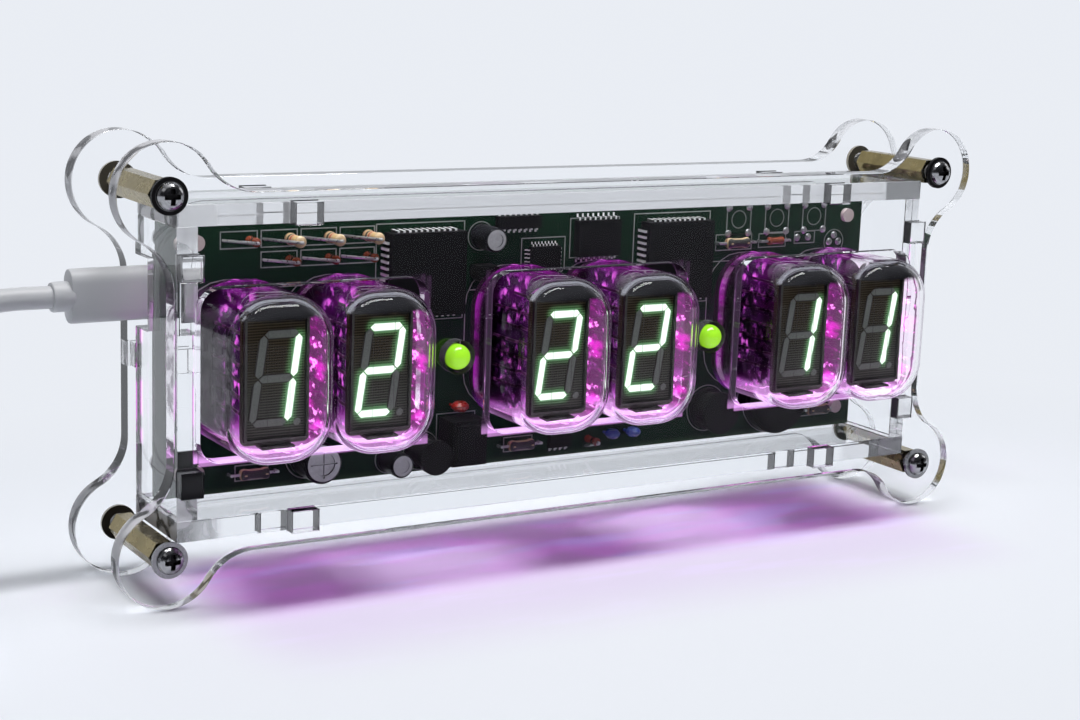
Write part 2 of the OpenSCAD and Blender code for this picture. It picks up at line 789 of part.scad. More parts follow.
module board_posts() {
    color("ivory")
        for (sx = [-1, 1], sz = [-1, 1])
            facing_back(sx * post_x, board_back, sz * post_z)
                difference() {
                    union() {
                        cylinder(d = post_d, h = post_l);
                        translate([0, 0, -board_t - post_tip_h])
                            cylinder(d = post_tip_d, h = board_t + post_tip_h + tiny);
                    }
                    translate([0, 0, tiny])
                        cylinder(d = post_screw_d + 2 * thread_clear, h = post_l);
                }
}

module board_screws() {
    color("silver")
        for (sx = [-1, 1], sz = [-1, 1])
            facing_back(sx * post_x, rear_back, sz * post_z)
                mirror([0, 0, 1])
                    pan_screw(post_screw_d, sheet_t + post_l * 0.8, post_screw_d / screw_d);
}

// Circuit board

module circuit_board() {
    color("darkgreen")
        slab(board_depth, board_back)
            difference() {
                square([board_w, board_h], center = true);
                four_corners(post_x, post_z)
                    circle(post_tip_d / 2 + tip_clear);
            }
}

// Display tubes

// Ring of points on a bulb: its inset from the bulb's outline, at a depth from the dome
function bulb_ring(x, inset, depth) =
    let (r = max(bulb_corner_r - inset, bulb_corner_r / 16), steps = 5)
    [for (q = [0:3], s = [0:steps])
        let (a = 90 * q + 90 * s / steps,
             cx = (bulb_w / 2 - inset - r) * (q == 0 || q == 3 ? 1 : -1),
             cz = (bulb_h / 2 - inset - r) * (q < 2 ? 1 : -1))
        [x + cx + r * cos(a), face_y - bulb_reach + depth, middle_z + cz + r * sin(a)]];

// Insets and depths from the dome's middle over its shoulder, for a skin set in by t
function bulb_front(t) =
    let (r = bulb_shoulder_r - t, edge = t + r * (1 - sin(dome_slope)), span = bulb_w / 2 - edge,
         foot = dome_h + bulb_shoulder_r * cos(dome_slope))
    concat(
        [for (f = [0.92, 0.5]) [edge + f * span, foot - r * cos(dome_slope)
            - tan(dome_slope) * span / 2 * (1 - (1 - f) * (1 - f))]],
        [for (a = [0:4]) let (turn = dome_slope + (90 - dome_slope) * a / 4)
            [t + r * (1 - sin(turn)), foot - r * cos(turn)]]);

module bulb(i) {
    outer = bulb_front(0);
    inner = bulb_front(glass_t);
    rim = bulb_depth - base_t;
    color("plum", 0.35)
        loft(concat(
            [for (p = outer) bulb_ring(tube_x[i], p[0], p[1])],
            [bulb_ring(tube_x[i], 0, rim), bulb_ring(tube_x[i], glass_t, rim)],
            [for (k = [len(inner) - 1:-1:0]) bulb_ring(tube_x[i], inner[k][0], inner[k][1])]
        ));
}

module bulb_1() bulb(0);
module bulb_2() bulb(1);
module bulb_3() bulb(2);
module bulb_4() bulb(3);
module bulb_5() bulb(4);
module bulb_6() bulb(5);

module pin_places() {
    for (side = [-1, 1], k = [0:pin_count - 1])
        translate([side * pin_span / 2, (k - (pin_count - 1) / 2) * pin_pitch])
            children();
}

module tube_bases() {
    color("lavender", 0.6)
        for (x = tube_x)
            slab(bulb_back - base_t, bulb_back)
                translate([x, 0])
                    difference() {
                        rounded_outline(bulb_w, bulb_h, bulb_corner_r);
                        pin_places()
                            circle(pin_d / 2 + tip_clear);
                    }
}

module tube_pins() {
    color("silver")
        for (x = tube_x)
            slab(plate_t - plate_reach, board_depth)
                translate([x, 0])
                    pin_places()
                        circle(pin_d / 2, $fn = 24);
}

module display_plate(i) {
    color("darkslategray")
        slab(-plate_reach, plate_t - plate_reach)
            translate([tube_x[i], 0])
                rounded_outline(plate_w, plate_h, plate_r);
}

module display_plate_1() display_plate(0);
module display_plate_2() display_plate(1);
module display_plate_3() display_plate(2);
module display_plate_4() display_plate(3);
module display_plate_5() display_plate(4);
module display_plate_6() display_plate(5);

module grid_frames() {
    color("dimgray")
        for (x = tube_x)
            slab(-plate_reach - grid_t, -plate_reach)
                translate([x, 0])
                    difference() {
                        square([plate_w - grid_rim, plate_h - 3 * grid_rim], center = true);
                        square([plate_w - 3 * grid_rim, plate_h - 5 * grid_rim], center = true);
                    }
}

// Two cathode wires between a post at the top and one at the bottom of each plate
module filaments() {
    wire_r = pin_d / 8;
    stand = plate_reach + 2 * grid_t;
    color("gray")
        for (x = tube_x) {
            for (sz = [-1, 1])
                slab(-stand, plate_t - plate_reach)
                    translate([x, sz * (plate_h / 2 + pin_d / 2)])
                        square([plate_w / 2, pin_d], center = true);
            for (sx = [-1, 1])
                translate([x + sx * plate_w / 6, face_y - stand + wire_r, middle_z - plate_h / 2 - tiny])
                    cylinder(r = wire_r, h = plate_h + 2 * tiny, $fn = 16);
        }
}

// Ring above each plate that holds the vacuum getter, on a stem down to the base
module getters() {
    ring_r = pin_d;
    depth = plate_t - plate_reach + getter_d / 2;
    color("gray")
        for (x = tube_x) {
            facing_back(x, depth, getter_z)
                rotate_extrude()
                    translate([getter_d / 2 - ring_r, 0])
                        circle(ring_r, $fn = 24);
            slab(depth, bulb_back - base_t)
                translate([x, getter_z - getter_d / 2 + ring_r])
                    circle(pin_d / 2, $fn = 24);
        }
}

// Digits

// Segment with pointed ends, lying along x
module segment(l) {
    p = segment_w / 2;
    polygon([[-l / 2, 0], [p - l / 2, p], [l / 2 - p, p], [l / 2, 0], [l / 2 - p, -p], [p - l / 2, -p]]);
}

// One of the seven segments, numbered from the top round to the middle
module placed_segment(n) {
    across = digit_w - segment_w;
    up = (digit_h - segment_w) / 2;
    level = n == 0 ? up : n == 3 ? -up : 0;
    if (n == 0 || n == 3 || n == 6)
        translate([0, level])
            segment(across - segment_gap);
    else
        translate([n < 3 ? across / 2 : -across / 2, n == 1 || n == 5 ? up / 2 : -up / 2])
            rotate(90)
                segment(up - segment_gap);
}

// Segments of all tubes that are lit, or those that are dark, leaning to the right
module segments(lit) {
    lean = [[1, tan(slant), 0, 0], [0, 1, 0, 0], [0, 0, 1, 0], [0, 0, 0, 1]];
    for (i = [0:5])
        slab(-plate_reach - segment_t, -plate_reach)
            translate([tube_x[i], 0])
                multmatrix(lean) {
                    for (n = [0:6])
                        if (numeral[digits[i]][n] == lit)
                            placed_segment(n);
                    if (lit == 0)
                        translate([(digit_w + point_d) / 2 + segment_gap, (point_d - digit_h) / 2])
                            circle(point_d / 2, $fn = 8);
                }
}

module lit_segments() {
    color("honeydew")
        segments(1);
}

module unlit_segments() {
    color("gray")
        segments(0);
}

// Board parts

// Bent lead that reaches out of a body's side and down to the board, at height h
module gull_lead(reach, h, w) {
    t = min(w, h) / 3;
    rotate([90, 0, 0])
        translate([0, 0, -w / 2])
            linear_extrude(w)
                polygon([
                    [-t, h], [reach / 2, h], [reach / 2, t], [reach, t],
                    [reach, 0], [reach / 2 - t, 0], [reach / 2 - t, h - t], [-t, h - t]
                ]);
}

// Flat chip of a body size, with counts of leads on its x and y sides
module leaded_chip(size, count_x, count_y, pitch, reach) {
    lift = size[2] / 12;
    lead_h = size[2] / 2;
    lead_w = pitch / 3;
    translate([0, 0, lift])
        centred_box([size[0], size[1], size[2] - lift]);
    for (side = [0, 180])
        rotate([0, 0, side])
            for (k = [0:1:count_x - 1])
                translate([size[0] / 2, (k - (count_x - 1) / 2) * pitch, 0])
                    gull_lead(reach, lead_h, lead_w);
    for (side = [90, 270])
        rotate([0, 0, side])
            for (k = [0:1:count_y - 1])
                translate([size[1] / 2, (k - (count_y - 1) / 2) * pitch, 0])
                    gull_lead(reach, lead_h, lead_w);
}

// Lead bent under the body's edge
module tucked_lead(h, w) {
    translate([-w / 2, -w / 2, 0])
        cube([w, w, h]);
}

// Large square chip with leads tucked under all four sides
module driver_chip() {
    lift = driver_h / 8;
    lead_w = lead_pitch / 2.4;
    translate([0, 0, lift])
        centred_box([driver_w, driver_w, driver_h - lift]);
    for (side = [0:90:270])
        rotate([0, 0, side])
            for (k = [0:driver_leads - 1])
                translate([driver_w / 2 + lead_w / 3, (k - (driver_leads - 1) / 2) * lead_pitch, 0])
                    tucked_lead(driver_h * 0.7, lead_w);
}

module driver_chip_left() {
    color("#1d1d20")
        on_board(-pair_pitch / 2 - driver_shift, top_edge(driver_drop))
            driver_chip();
}

module driver_chip_right() {
    color("#1d1d20")
        on_board(pair_pitch / 2, top_edge(driver_drop))
            driver_chip();
}

module clock_chip() {
    color("#1d1d20")
        near_top(clock_chip_at)
            leaded_chip([clock_chip_w, clock_chip_d, flat_chip_h], 0, 8, lead_pitch, lead_reach);
}

module controller_chip() {
    color("#1d1d20")
        near_top(controller_at)
            leaded_chip([controller_w, controller_w, thin_chip_h], 8, 8, fine_pitch, short_reach);
}

// Small chips at the top and bottom edges of the board
module edge_chips() {
    color("#1d1d20") {
        near_top(top_chip_at)
            leaded_chip([lead_pitch * 8, top_chip_d, thin_chip_h], 0, 8, lead_pitch, short_reach);
        near_bottom(bottom_chip_at)
            leaded_chip([lead_pitch * 4, bottom_chip_d, thin_chip_h], 0, 4, lead_pitch, short_reach);
    }
}

// Can with a rounded top edge and a rolled groove near its foot
module can(d, h) {
    r = d / 2;
    edge = d / 14;
    rotate_extrude()
        polygon([
            [0, 0], [r, 0], [r, h / 8], [r - edge, h / 8 + edge], [r, h / 8 + 2 * edge],
            [r, h - edge], [r - edge, h], [r - 3 * edge, h],
            [r - 3 * edge, h - edge / 2], [0, h - edge / 2]
        ]);
}

module vented_capacitor() {
    score = vent_cap_d / 30;
    color("#222226")
        near_bottom(vent_cap_at, -pair_pitch)
            difference() {
                can(vent_cap_d, vent_cap_h);
                for (turn = [0, 90])
                    rotate([0, 0, turn])
                        translate([0, 0, vent_cap_h - vent_cap_d / 16])
                            centred_box([vent_cap_d * 0.7, score, vent_cap_d]);
            }
}

module small_capacitors() {
    color("#222226") {
        near_top(upper_cap_at, -pair_pitch / 2)
            can(small_cap_d, small_cap_h);
        near_bottom(lower_cap_at, -pair_pitch / 2)
            can(small_cap_d, small_cap_h);
    }
}

// Bobbin between two flanges
module bobbin(d, h) {
    r = d / 2;
    waist = r * 0.82;
    rotate_extrude()
        polygon([
            [0, 0], [r, 0], [r, h * 0.15], [waist, h * 0.2],
            [waist, h * 0.75], [r, h * 0.8], [r, h], [0, h]
        ]);
}

module inductors() {
    color("#26262a") {
        near_bottom(inductor_at, -pair_pitch / 2)
            bobbin(inductor_d, inductor_h);
        near_bottom(filter_at, pair_pitch)
            bobbin(filter_d, filter_h);
    }
}

// Moulded block with a stepped top
module converter_block() {
    step = converter_w / 10;
    color("#202024")
        near_bottom(converter_at, -pair_pitch / 2) {
            centred_box([converter_w, converter_l, converter_h - step]);
            centred_box([converter_w - 2 * step, converter_l - 2 * step, converter_h]);
        }
}

// Disc standing on edge on two wires
module disc_capacitor(d, t) {
    lift = wire_d;
    for (side = [-1, 1])
        translate([side * d / 4, 0, 0])
            cylinder(d = wire_d, h = lift + d / 2);
    translate([0, 0, lift + d / 2])
        rotate([90, 0, 0])
            rotate_extrude()
                polygon([
                    [0, -t / 2], [d / 2 - t / 3, -t / 2], [d / 2, -t / 6],
                    [d / 2, t / 6], [d / 2 - t / 3, t / 2], [0, t / 2]
                ]);
}

module ceramic_capacitors() {
    color("firebrick")
        near_bottom(red_disc_at, -pair_pitch / 2)
            disc_capacitor(red_disc_d, disc_t);
    color("steelblue")
        for (k = [0, 1])
            near_bottom(blue_disc_at + [k * blue_disc_pitch, 0], pair_pitch / 2)
                disc_capacitor(blue_disc_d, disc_t);
}

// Body with thicker ends, along z from 0
module waisted_body(d, l) {
    r = d / 2;
    rotate_extrude()
        polygon([
            [0, 0], [r * 0.7, 0], [r, l * 0.08], [r, l * 0.2], [r * 0.85, l * 0.28], [r * 0.85, l * 0.72],
            [r, l * 0.8], [r, l * 0.92], [r * 0.7, l], [0, l]
        ]);
}

// Standing part: its far wire slants from the top down to a pad on the left
module standing_part(d, l, span) {
    foot = wire_d;
    top = foot + l;
    lean = atan2(span, top);
    cylinder(d = wire_d, h = top + wire_d);
    translate([0, 0, foot])
        waisted_body(d, l);
    translate([0, 0, top + wire_d / 2])
        sphere(d = wire_d);
    translate([0, 0, top + wire_d / 2])
        rotate([0, 180 + lean, 0])
            cylinder(d = wire_d, h = top / cos(lean) - wire_d / 2);
}

// Lying part with both wires bent down to the board
module lying_part(d, l, span) {
    h = d / 2 + wire_d / 2;
    translate([-l / 2, 0, h])
        rotate([0, 90, 0])
            waisted_body(d, l);
    translate([-span / 2, 0, h])
        rotate([0, 90, 0])
            cylinder(d = wire_d, h = span);
    for (side = [-1, 1])
        translate([side * span / 2, 0, 0]) {
            cylinder(d = wire_d, h = h);
            translate([0, 0, h])
                sphere(d = wire_d);
        }
}

module resistors() {
    color("tan") {
        for (k = [0:2])
            near_top(resistor_at + [k * resistor_pitch, 0], -pair_pitch)
                standing_part(resistor_d, resistor_l, wire_span);
        near_top(right_resistor_at, pair_pitch)
            lying_part(resistor_d, resistor_l, resistor_l + 2 * wire_reach);
        near_bottom([low_left_x, low_resistor_drop], -pair_pitch)
            lying_part(resistor_d, resistor_l, resistor_l + 2 * wire_reach);
        near_bottom([low_middle_x, low_resistor_drop])
            lying_part(resistor_d, resistor_l, resistor_l + 2 * wire_reach);
        near_bottom(corner_resistor_at, board_x)
            lying_part(resistor_d, resistor_l, resistor_l + 2 * wire_d);
    }
}

module diodes() {
    color("#5a1e1e") {
        near_top(resistor_at - [resistor_pitch, 0], -pair_pitch)
            standing_part(diode_d, diode_l, wire_span);
        for (k = [0:2])
            near_top(resistor_at + [k * resistor_pitch, resistor_row], -pair_pitch)
                standing_part(diode_d, diode_l, wire_span);
        near_top(right_diode_at, pair_pitch)
            lying_part(diode_d, diode_l, diode_l + 2 * wire_reach);
        near_bottom(low_diode_at)
            rotate([0, 0, 90])
                standing_part(diode_d, diode_l, diode_d);
    }
}

// Half-round body on the board, flat side up
module half_round(d, h) {
    difference() {
        cylinder(d = d, h = h);
        translate([-d, d / 4, -tiny])
            cube([2 * d, d, h + 2 * tiny]);
    }
}

module transistors() {
    color("#202024") {
        near_top(transistor_at, -pair_pitch / 2)
            half_round(transistor_d, transistor_h);
        behind_board(board_x + temperature_at[0], top_edge(temperature_at[1]))
            half_round(transistor_d, transistor_h);
    }
}

module buzzer() {
    color("#18181a")
        near_bottom(buzzer_at, pair_pitch)
            difference() {
                union() {
                    cylinder(d = buzzer_d, h = buzzer_h * 0.8);
                    cylinder(d = buzzer_d * 0.9, h = buzzer_h);
                }
                translate([0, 0, buzzer_h * 0.6])
                    cylinder(d = buzzer_d / 8, h = buzzer_h);
            }
}

// Domed light on two long wires
module colon_light(side) {
    r = colon_d / 2;
    rim = r + colon_gap / 2;
    body_l = colon_d * 1.7;
    top = board_depth + colon_reach;
    foot = top - body_l;
    on_board(side * pair_pitch / 2, 0) {
        for (sx = [-1, 1])
            translate([sx * colon_d / 4, 0, 0])
                cylinder(d = wire_d, h = foot + wire_d);
        translate([0, 0, foot])
            cylinder(r = rim, h = 1);
        translate([0, 0, foot])
            cylinder(r = r, h = body_l - r);
        translate([0, 0, top - r])
            sphere(r);
    }
}

module colon_lights() {
    color("yellowgreen")
        for (side = [-1, 1])
            colon_light(side);
}

module backlight_lamps() {
    color("white")
        for (x = tube_x)
            on_board(x, 0)
                difference() {
                    centred_box([lamp_w, lamp_w, lamp_h]);
                    translate([0, 0, lamp_h * 0.7])
                        cylinder(d1 = lamp_w * 0.6, d2 = lamp_w * 0.8, h = lamp_h * 0.3 + tiny);
                }
}

module light_sensor() {
    color("darkorange")
        behind_board(board_x + light_sensor_at[0], top_edge(light_sensor_at[1])) {
            for (side = [-1, 1])
                translate([side * sensor_d / 4, 0, 0])
                    cylinder(d = wire_d, h = sensor_lift + sensor_t / 2);
            translate([0, 0, sensor_lift])
                cylinder(d = sensor_d, h = sensor_t);
        }
}

// Power socket, open to the left, with a contact tongue
module power_socket() {
    wall = socket_wall;
    depth = shell_l + 0.2;
    tongue_w = shell_w - 4 * shell_wall;
    tongue_t = (shell_t - 2 * shell_wall) / 2;
    color("silver")
        translate([mouth_x, socket_y, lead_z]) {
            difference() {
                translate([0, -socket_t / 2, -socket_w / 2])
                    cube([depth + 2 * wall, socket_t, socket_w]);
                translate([-tiny, wall - socket_t / 2, wall - socket_w / 2])
                    cube([depth + tiny, socket_t - 2 * wall, socket_w - 2 * wall]);
            }
            translate([depth / 4, -tongue_t / 2, -tongue_w / 2])
                cube([depth * 0.75 + wall, tongue_t, tongue_w]);
        }
}

// Switches on the board's rear

module at_switch(i) {
    behind_board(switch_x + i * switch_pitch, switch_z)
        children();
}

module switch_bodies() {
    color("#2a2a2e")
        for (i = [-1:1])
            at_switch(i)
                difference() {
                    centred_box([switch_w, switch_w, switch_h]);
                    translate([0, 0, switch_floor])
                        cylinder(r = button_d / 2 + button_clear, h = switch_h);
                }
}

module button(i) {
    foot = switch_floor + 2 * button_travel;
    tip = rear_back - board_back + button_reach;
    edge = button_d / 10;
    color("#3a3a3e")
        at_switch(i)
            rotate_extrude()
                polygon([
                    [0, foot], [button_d / 2, foot], [button_d / 2, tip - edge],
                    [button_d / 2 - edge, tip], [0, tip]
                ]);
}

module button_1() button(-1);
module button_2() button(0);
module button_3() button(1);

// Power lead

// Flat bar with round edges along x, from 0 to the left
module round_bar(l, w, t) {
    rotate([0, -90, 0])
        linear_extrude(l) {
            square([w - t, t], center = true);
            for (side = [-1, 1])
                translate([side * (w - t) / 2, 0])
                    circle(t / 2);
        }
}

module plug_shell() {
    color("silver")
        translate([grip_x, socket_y, lead_z])
            difference() {
                translate([0, -shell_t / 2, -shell_w / 2])
                    cube([shell_l, shell_t, shell_w]);
                translate([grip_gap, shell_wall - shell_t / 2, shell_wall - shell_w / 2])
                    cube([shell_l, shell_t - 2 * shell_wall, shell_w - 2 * shell_wall]);
            }
}

module plug_grip() {
    lap = collar_l / 3;
    color("whitesmoke")
        translate([grip_x, socket_y, lead_z]) {
            round_bar(grip_l, grip_w, grip_t);
            translate([lap - grip_l, 0, 0])
                rotate([0, -90, 0])
                    cylinder(d = collar_d, h = collar_l + lap);
        }
}

module lead_cable() {
    color("whitesmoke")
        loft(cord_rings(cable_points, cable_r, cable_sides));
}

module lead_coil() {
    color("whitesmoke")
        loft(cord_rings(coil_points, cable_r, coil_sides));
}

// Flat band round all the turns
module coil_tie() {
    tall = coil_top + cable_d + tie_clear;
    color("dimgray")
        translate([coil_centre[0] - tie_outer, coil_centre[1], 0])
            difference() {
                translate([-tie_t, -tie_w / 2, 0])
                    cube([tie_outer - tie_inner + 2 * tie_t, tie_w, tall + 2 * tie_t]);
                translate([0, -tie_w, tie_t])
                    cube([tie_outer - tie_inner, 2 * tie_w, tall]);
            }
}

// Puts the supply plug at the end of the tail, its x axis along the plug
module at_supply() {
    translate([tail_end[0], tail_end[1], supply_z])
        rotate([0, 0, 90])
            children();
}

module supply_grip() {
    color("whitesmoke")
        at_supply()
            translate([supply_l, 0, 0])
                rotate([90, 0, 0])
                    round_bar(supply_l, supply_w, supply_t);
}

module supply_shell() {
    w = supply_shell_w;
    t = supply_shell_t;
    color("silver")
        at_supply()
            translate([supply_l, -w / 2, -t / 2])
                difference() {
                    cube([supply_shell_l, w, t]);
                    translate([shell_wall, shell_wall, shell_wall])
                        cube([supply_shell_l, w - 2 * shell_wall, t - 2 * shell_wall]);
                }
}

front_plate();
rear_plate();
top_panel();
bottom_panel();
left_panel();
right_panel();
case_standoffs();
case_screws();
circuit_board();
board_posts();
board_screws();
bulb_1();
bulb_2();
bulb_3();
bulb_4();
bulb_5();
bulb_6();
display_plate_1();
display_plate_2();
display_plate_3();
display_plate_4();
display_plate_5();
display_plate_6();
tube_bases();
tube_pins();
grid_frames();
filaments();
getters();
lit_segments();
unlit_segments();
driver_chip_left();
driver_chip_right();
clock_chip();
controller_chip();
edge_chips();
vented_capacitor();
small_capacitors();
inductors();
converter_block();
ceramic_capacitors();
resistors();
diodes();
transistors();
buzzer();
colon_lights();
backlight_lamps();
light_sensor();
power_socket();
switch_bodies();
button_1();
button_2();
button_3();
plug_shell();
plug_grip();
lead_cable();
lead_coil();
coil_tie();
supply_grip();
supply_shell();
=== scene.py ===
from math import atan2, cos, pi, radians, sin, sqrt, tan

import bpy
from mathutils import Matrix, Vector
from mathutils.geometry import tessellate_polygon


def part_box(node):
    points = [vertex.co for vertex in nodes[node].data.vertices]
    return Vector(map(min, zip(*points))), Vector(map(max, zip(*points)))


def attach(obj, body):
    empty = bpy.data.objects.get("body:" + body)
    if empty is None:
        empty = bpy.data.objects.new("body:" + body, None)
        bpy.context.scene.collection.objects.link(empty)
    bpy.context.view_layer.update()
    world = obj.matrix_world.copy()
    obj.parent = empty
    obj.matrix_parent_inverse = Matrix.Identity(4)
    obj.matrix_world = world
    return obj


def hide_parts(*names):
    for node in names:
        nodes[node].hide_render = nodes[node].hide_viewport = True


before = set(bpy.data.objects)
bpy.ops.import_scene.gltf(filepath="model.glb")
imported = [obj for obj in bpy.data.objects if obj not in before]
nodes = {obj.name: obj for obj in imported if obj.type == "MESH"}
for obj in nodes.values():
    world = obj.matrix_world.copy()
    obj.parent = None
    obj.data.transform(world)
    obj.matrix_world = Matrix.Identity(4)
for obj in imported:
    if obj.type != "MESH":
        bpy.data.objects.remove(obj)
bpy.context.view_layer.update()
scene = bpy.context.scene
scene.view_settings.view_transform = "Standard"
mm = 0.001

# places that the frame gives, in metres, and in mm where the name ends in At
plateLow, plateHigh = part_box("front_plate")
boardLow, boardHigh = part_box("circuit_board")
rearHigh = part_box("rear_plate")[1]
faceY = plateLow.y
midZ = (plateLow.z + plateHigh.z) / 2
faceAt, midAt = faceY / mm, midZ / mm
boardFrontAt, boardBackAt = boardLow.y / mm, boardHigh.y / mm
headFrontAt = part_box("case_screws")[0].y / mm
tubeXs = [sum(c.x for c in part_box(f"display_plate_{i}")) / 2 for i in range(1, 7)]


def linked(name, data):
    made = bpy.data.objects.new(name, data)
    scene.collection.objects.link(made)
    return made


# Camera

cameraView = {
    "position": (-212.9, -336.2, 117.7),  # mm
    "azimuth": -31.58,
    "elevation": 11.34,
    "roll": 2.12,
    "lens": 66.04,
}


def addCamera(view):
    turn, rise, roll = (radians(view[key]) for key in ("azimuth", "elevation", "roll"))
    back = Vector((sin(turn) * cos(rise), -cos(turn) * cos(rise), sin(rise)))
    right = Vector((cos(turn), sin(turn), 0))
    up = back.cross(right)
    leanRight = right * cos(roll) + up * sin(roll)
    leanUp = up * cos(roll) - right * sin(roll)
    data = bpy.data.cameras.new("camera")
    data.lens = view["lens"]
    data.clip_start = 0.01
    camera = linked("camera", data)
    placed = Matrix((leanRight, leanUp, back)).transposed().to_4x4()
    placed.translation = Vector(view["position"]) * mm
    camera.matrix_world = placed
    scene.camera = camera


addCamera(cameraView)
print("camera set")

# Sizes in mm that the finishes and the meshes share

case = {
    "sheet": 4.0,
    "depth": 20.0,
    "bevel": 0.12,
    "gap": 0.05,  # air between touching sheets
    "screwX": 89.0,
    "screwZ": 33.0,
    "waistX": 88.0,
    "waistZ": 33.3,
    "boxX": 86.5,
    "boxZ": 31.0,
    "earR": 9.5,
    "blendR": 10.0,
    "earSteps": 48,
    "blendSteps": 14,
    "windowSteps": 8,
    "window": (46.0, 32.0, 4.0),
    "pairPitch": 60.0,
    "screwHole": 1.7,
    "colonHole": 3.25,
    "tabX": 62.0,
    "tabW": 5.2,
    "sideTabZ": 19.8,
    "sideTabW": 4.5,
    "tabClear": 0.1,
    "post": (77.5, 22.0, 1.2),
    "buttonX": 47.6,
    "buttonPitch": 10.4,
    "buttonZ": 22.0,
    "buttonHole": 2.2,
    "notch": (17.5, 12.5, 13.6),  # depth where it starts, middle height, height
}
digit = {
    "height": 18.0,
    "width": 8.6,
    "stroke": 1.8,
    "slant": 8.0,
    "shown": "122211",
    "lines": {"1": (1, 2), "2": (0, 1, 3, 4, 6)},  # segments clockwise from the top, the middle one last
    "halo": 1.1,  # reach of the glow
    "net": (40, 76),  # columns and rows of the surface that shows it
    "netInset": 0.25,
    "netLift": 0.01,
    "haloFall": 1.5,  # power by which it fades
    "plateCorner": 0.8,
    "plateBevel": 0.1,
}
cans = [(-54.4, -20.8, 4.4), (-36.6, -23.3, 2.5), (-16.8, 20.9, 2.5)]  # x, distance from mid-height, radius
resistorBands = [  # distance from the body's foot, colour
    (1.2, (0.18, 0.07, 0.03)),
    (2.3, (0.02, 0.02, 0.02)),
    (3.3, (0.35, 0.05, 0.02)),
    (4.9, (0.5, 0.33, 0.08)),
]
rearFace = case["sheet"] + case["depth"]  # from the front of the front plate to that of the rear plate
levelMid = case["boxZ"] - case["sheet"] / 2  # middle of the top panel's thickness
endMid = case["boxX"] - case["sheet"] / 2
switchXs = [case["buttonX"] + k * case["buttonPitch"] for k in range(3)]

# Materials


def mathMethod(operation, flip=False):  # a Math node as a method
    return lambda flow, other=None: flow.sum(operation, other, flip)


class Flow:  # a socket, so that shader sums read as Python
    def __init__(self, tree, socket=None):
        self.tree = tree
        self.socket = socket

    def node(self, kind, settings=None, sockets=None, out=0):
        made = self.tree.nodes.new("ShaderNode" + kind)
        for name, value in (settings or {}).items():
            setattr(made, name, value)
        for name, value in (sockets or {}).items():
            if isinstance(value, Flow):
                self.tree.links.new(value.socket, made.inputs[name])
            else:
                made.inputs[name].default_value = value
        return Flow(self.tree, made.outputs[out])

    def sum(self, operation, other, flip):
        pair = (other, self) if flip else (self, other)
        values = {i: v for i, v in enumerate(pair) if v is not None}
        return self.node("Math", {"operation": operation}, values)

    __add__ = __radd__ = mathMethod("ADD")
    __sub__ = mathMethod("SUBTRACT")
    __rsub__ = mathMethod("SUBTRACT", True)
    __mul__ = __rmul__ = mathMethod("MULTIPLY")
    __truediv__ = mathMethod("DIVIDE")
    __rtruediv__ = mathMethod("DIVIDE", True)
    __pow__ = mathMethod("POWER")
    __mod__ = mathMethod("FLOORED_MODULO")
    __gt__ = mathMethod("GREATER_THAN")
    __lt__ = mathMethod("LESS_THAN")
    __abs__ = mathMethod("ABSOLUTE")
    most = mathMethod("MAXIMUM")
    least = mathMethod("MINIMUM")


def spread(value, low, high):  # 0 at low, 1 at high, eased between
    ends = {0: value, 1: low, 2: high, 3: 0.0, 4: 1.0}
    return value.node("MapRange", {"interpolation_type": "SMOOTHSTEP"}, ends)


def within(value, limit, soft):  # 1 up to that far on both sides of 0, then eased out
    return spread(abs(value), limit + soft, limit)


def grey(tone):
    return tone, tone, tone


def rgba(value):  # plain colours get their alpha
    return (*value, 1) if isinstance(value, tuple) else value


def blend(share, first, second):
    return share.node("Mix", {"data_type": "RGBA"}, {0: share, 6: rgba(first), 7: rgba(second)}, out=2)


def glowing(share, tint):
    return {"Emission Color": blend(share, grey(0), tint)}


def apart(vector):
    return [vector.node("SeparateXYZ", None, {0: vector}, out=i) for i in range(3)]


def objectPlace(flow):  # the piece's own coordinates in mm, as three values
    return [value * 1000 for value in apart(flow.node("TexCoord", out="Object"))]


def casePlace(flow):  # mm to the right, behind the front face and above mid-height
    x, y, z = objectPlace(flow)
    return x, y - faceAt, z - midAt


def surfaceWay(flow):
    return apart(flow.node("NewGeometry", out="Normal"))


def grain(flow, scale, detail, stretch=(1, 1, 1)):  # noise, features of about 1 / scale mm
    where = flow.node("TexCoord", out="Object")
    big = where.node("Mapping", None, {"Vector": where, "Scale": tuple(1000 * s * scale for s in stretch)})
    return big.node("TexNoise", None, {"Vector": big, "Scale": 1.0, "Detail": detail}, out="Fac")


def bumped(height, strength, distance):  # distance in mm
    return height.node("Bump", None, {"Height": height, "Strength": strength, "Distance": distance * mm})


def makeMaterial(name, constants, paint):
    material = bpy.data.materials.new(name)
    material.use_nodes = True
    tree = material.node_tree
    shader = tree.nodes["Principled BSDF"]
    for socket, value in constants.items():
        shader.inputs[socket].default_value = rgba(value)
    for socket, value in paint(Flow(tree)).items():
        tree.links.new(value.socket, shader.inputs[socket])
    return material


def coverGround(material, share, cover):  # share of the surface that shows cover in place of the first finish
    tree = material.node_tree
    ground = Flow(tree, tree.nodes["Principled BSDF"].outputs[0])
    both = ground.node("MixShader", None, {0: share, 1: ground, 2: cover})
    tree.links.new(both.socket, tree.nodes["Material Output"].inputs["Surface"])


def addFilm(material, paint, constants):  # a second finish over part of the surface
    flow = Flow(material.node_tree)
    share, sockets = paint(flow)
    coverGround(material, share, flow.node("BsdfPrincipled", None, {**constants, **sockets}))


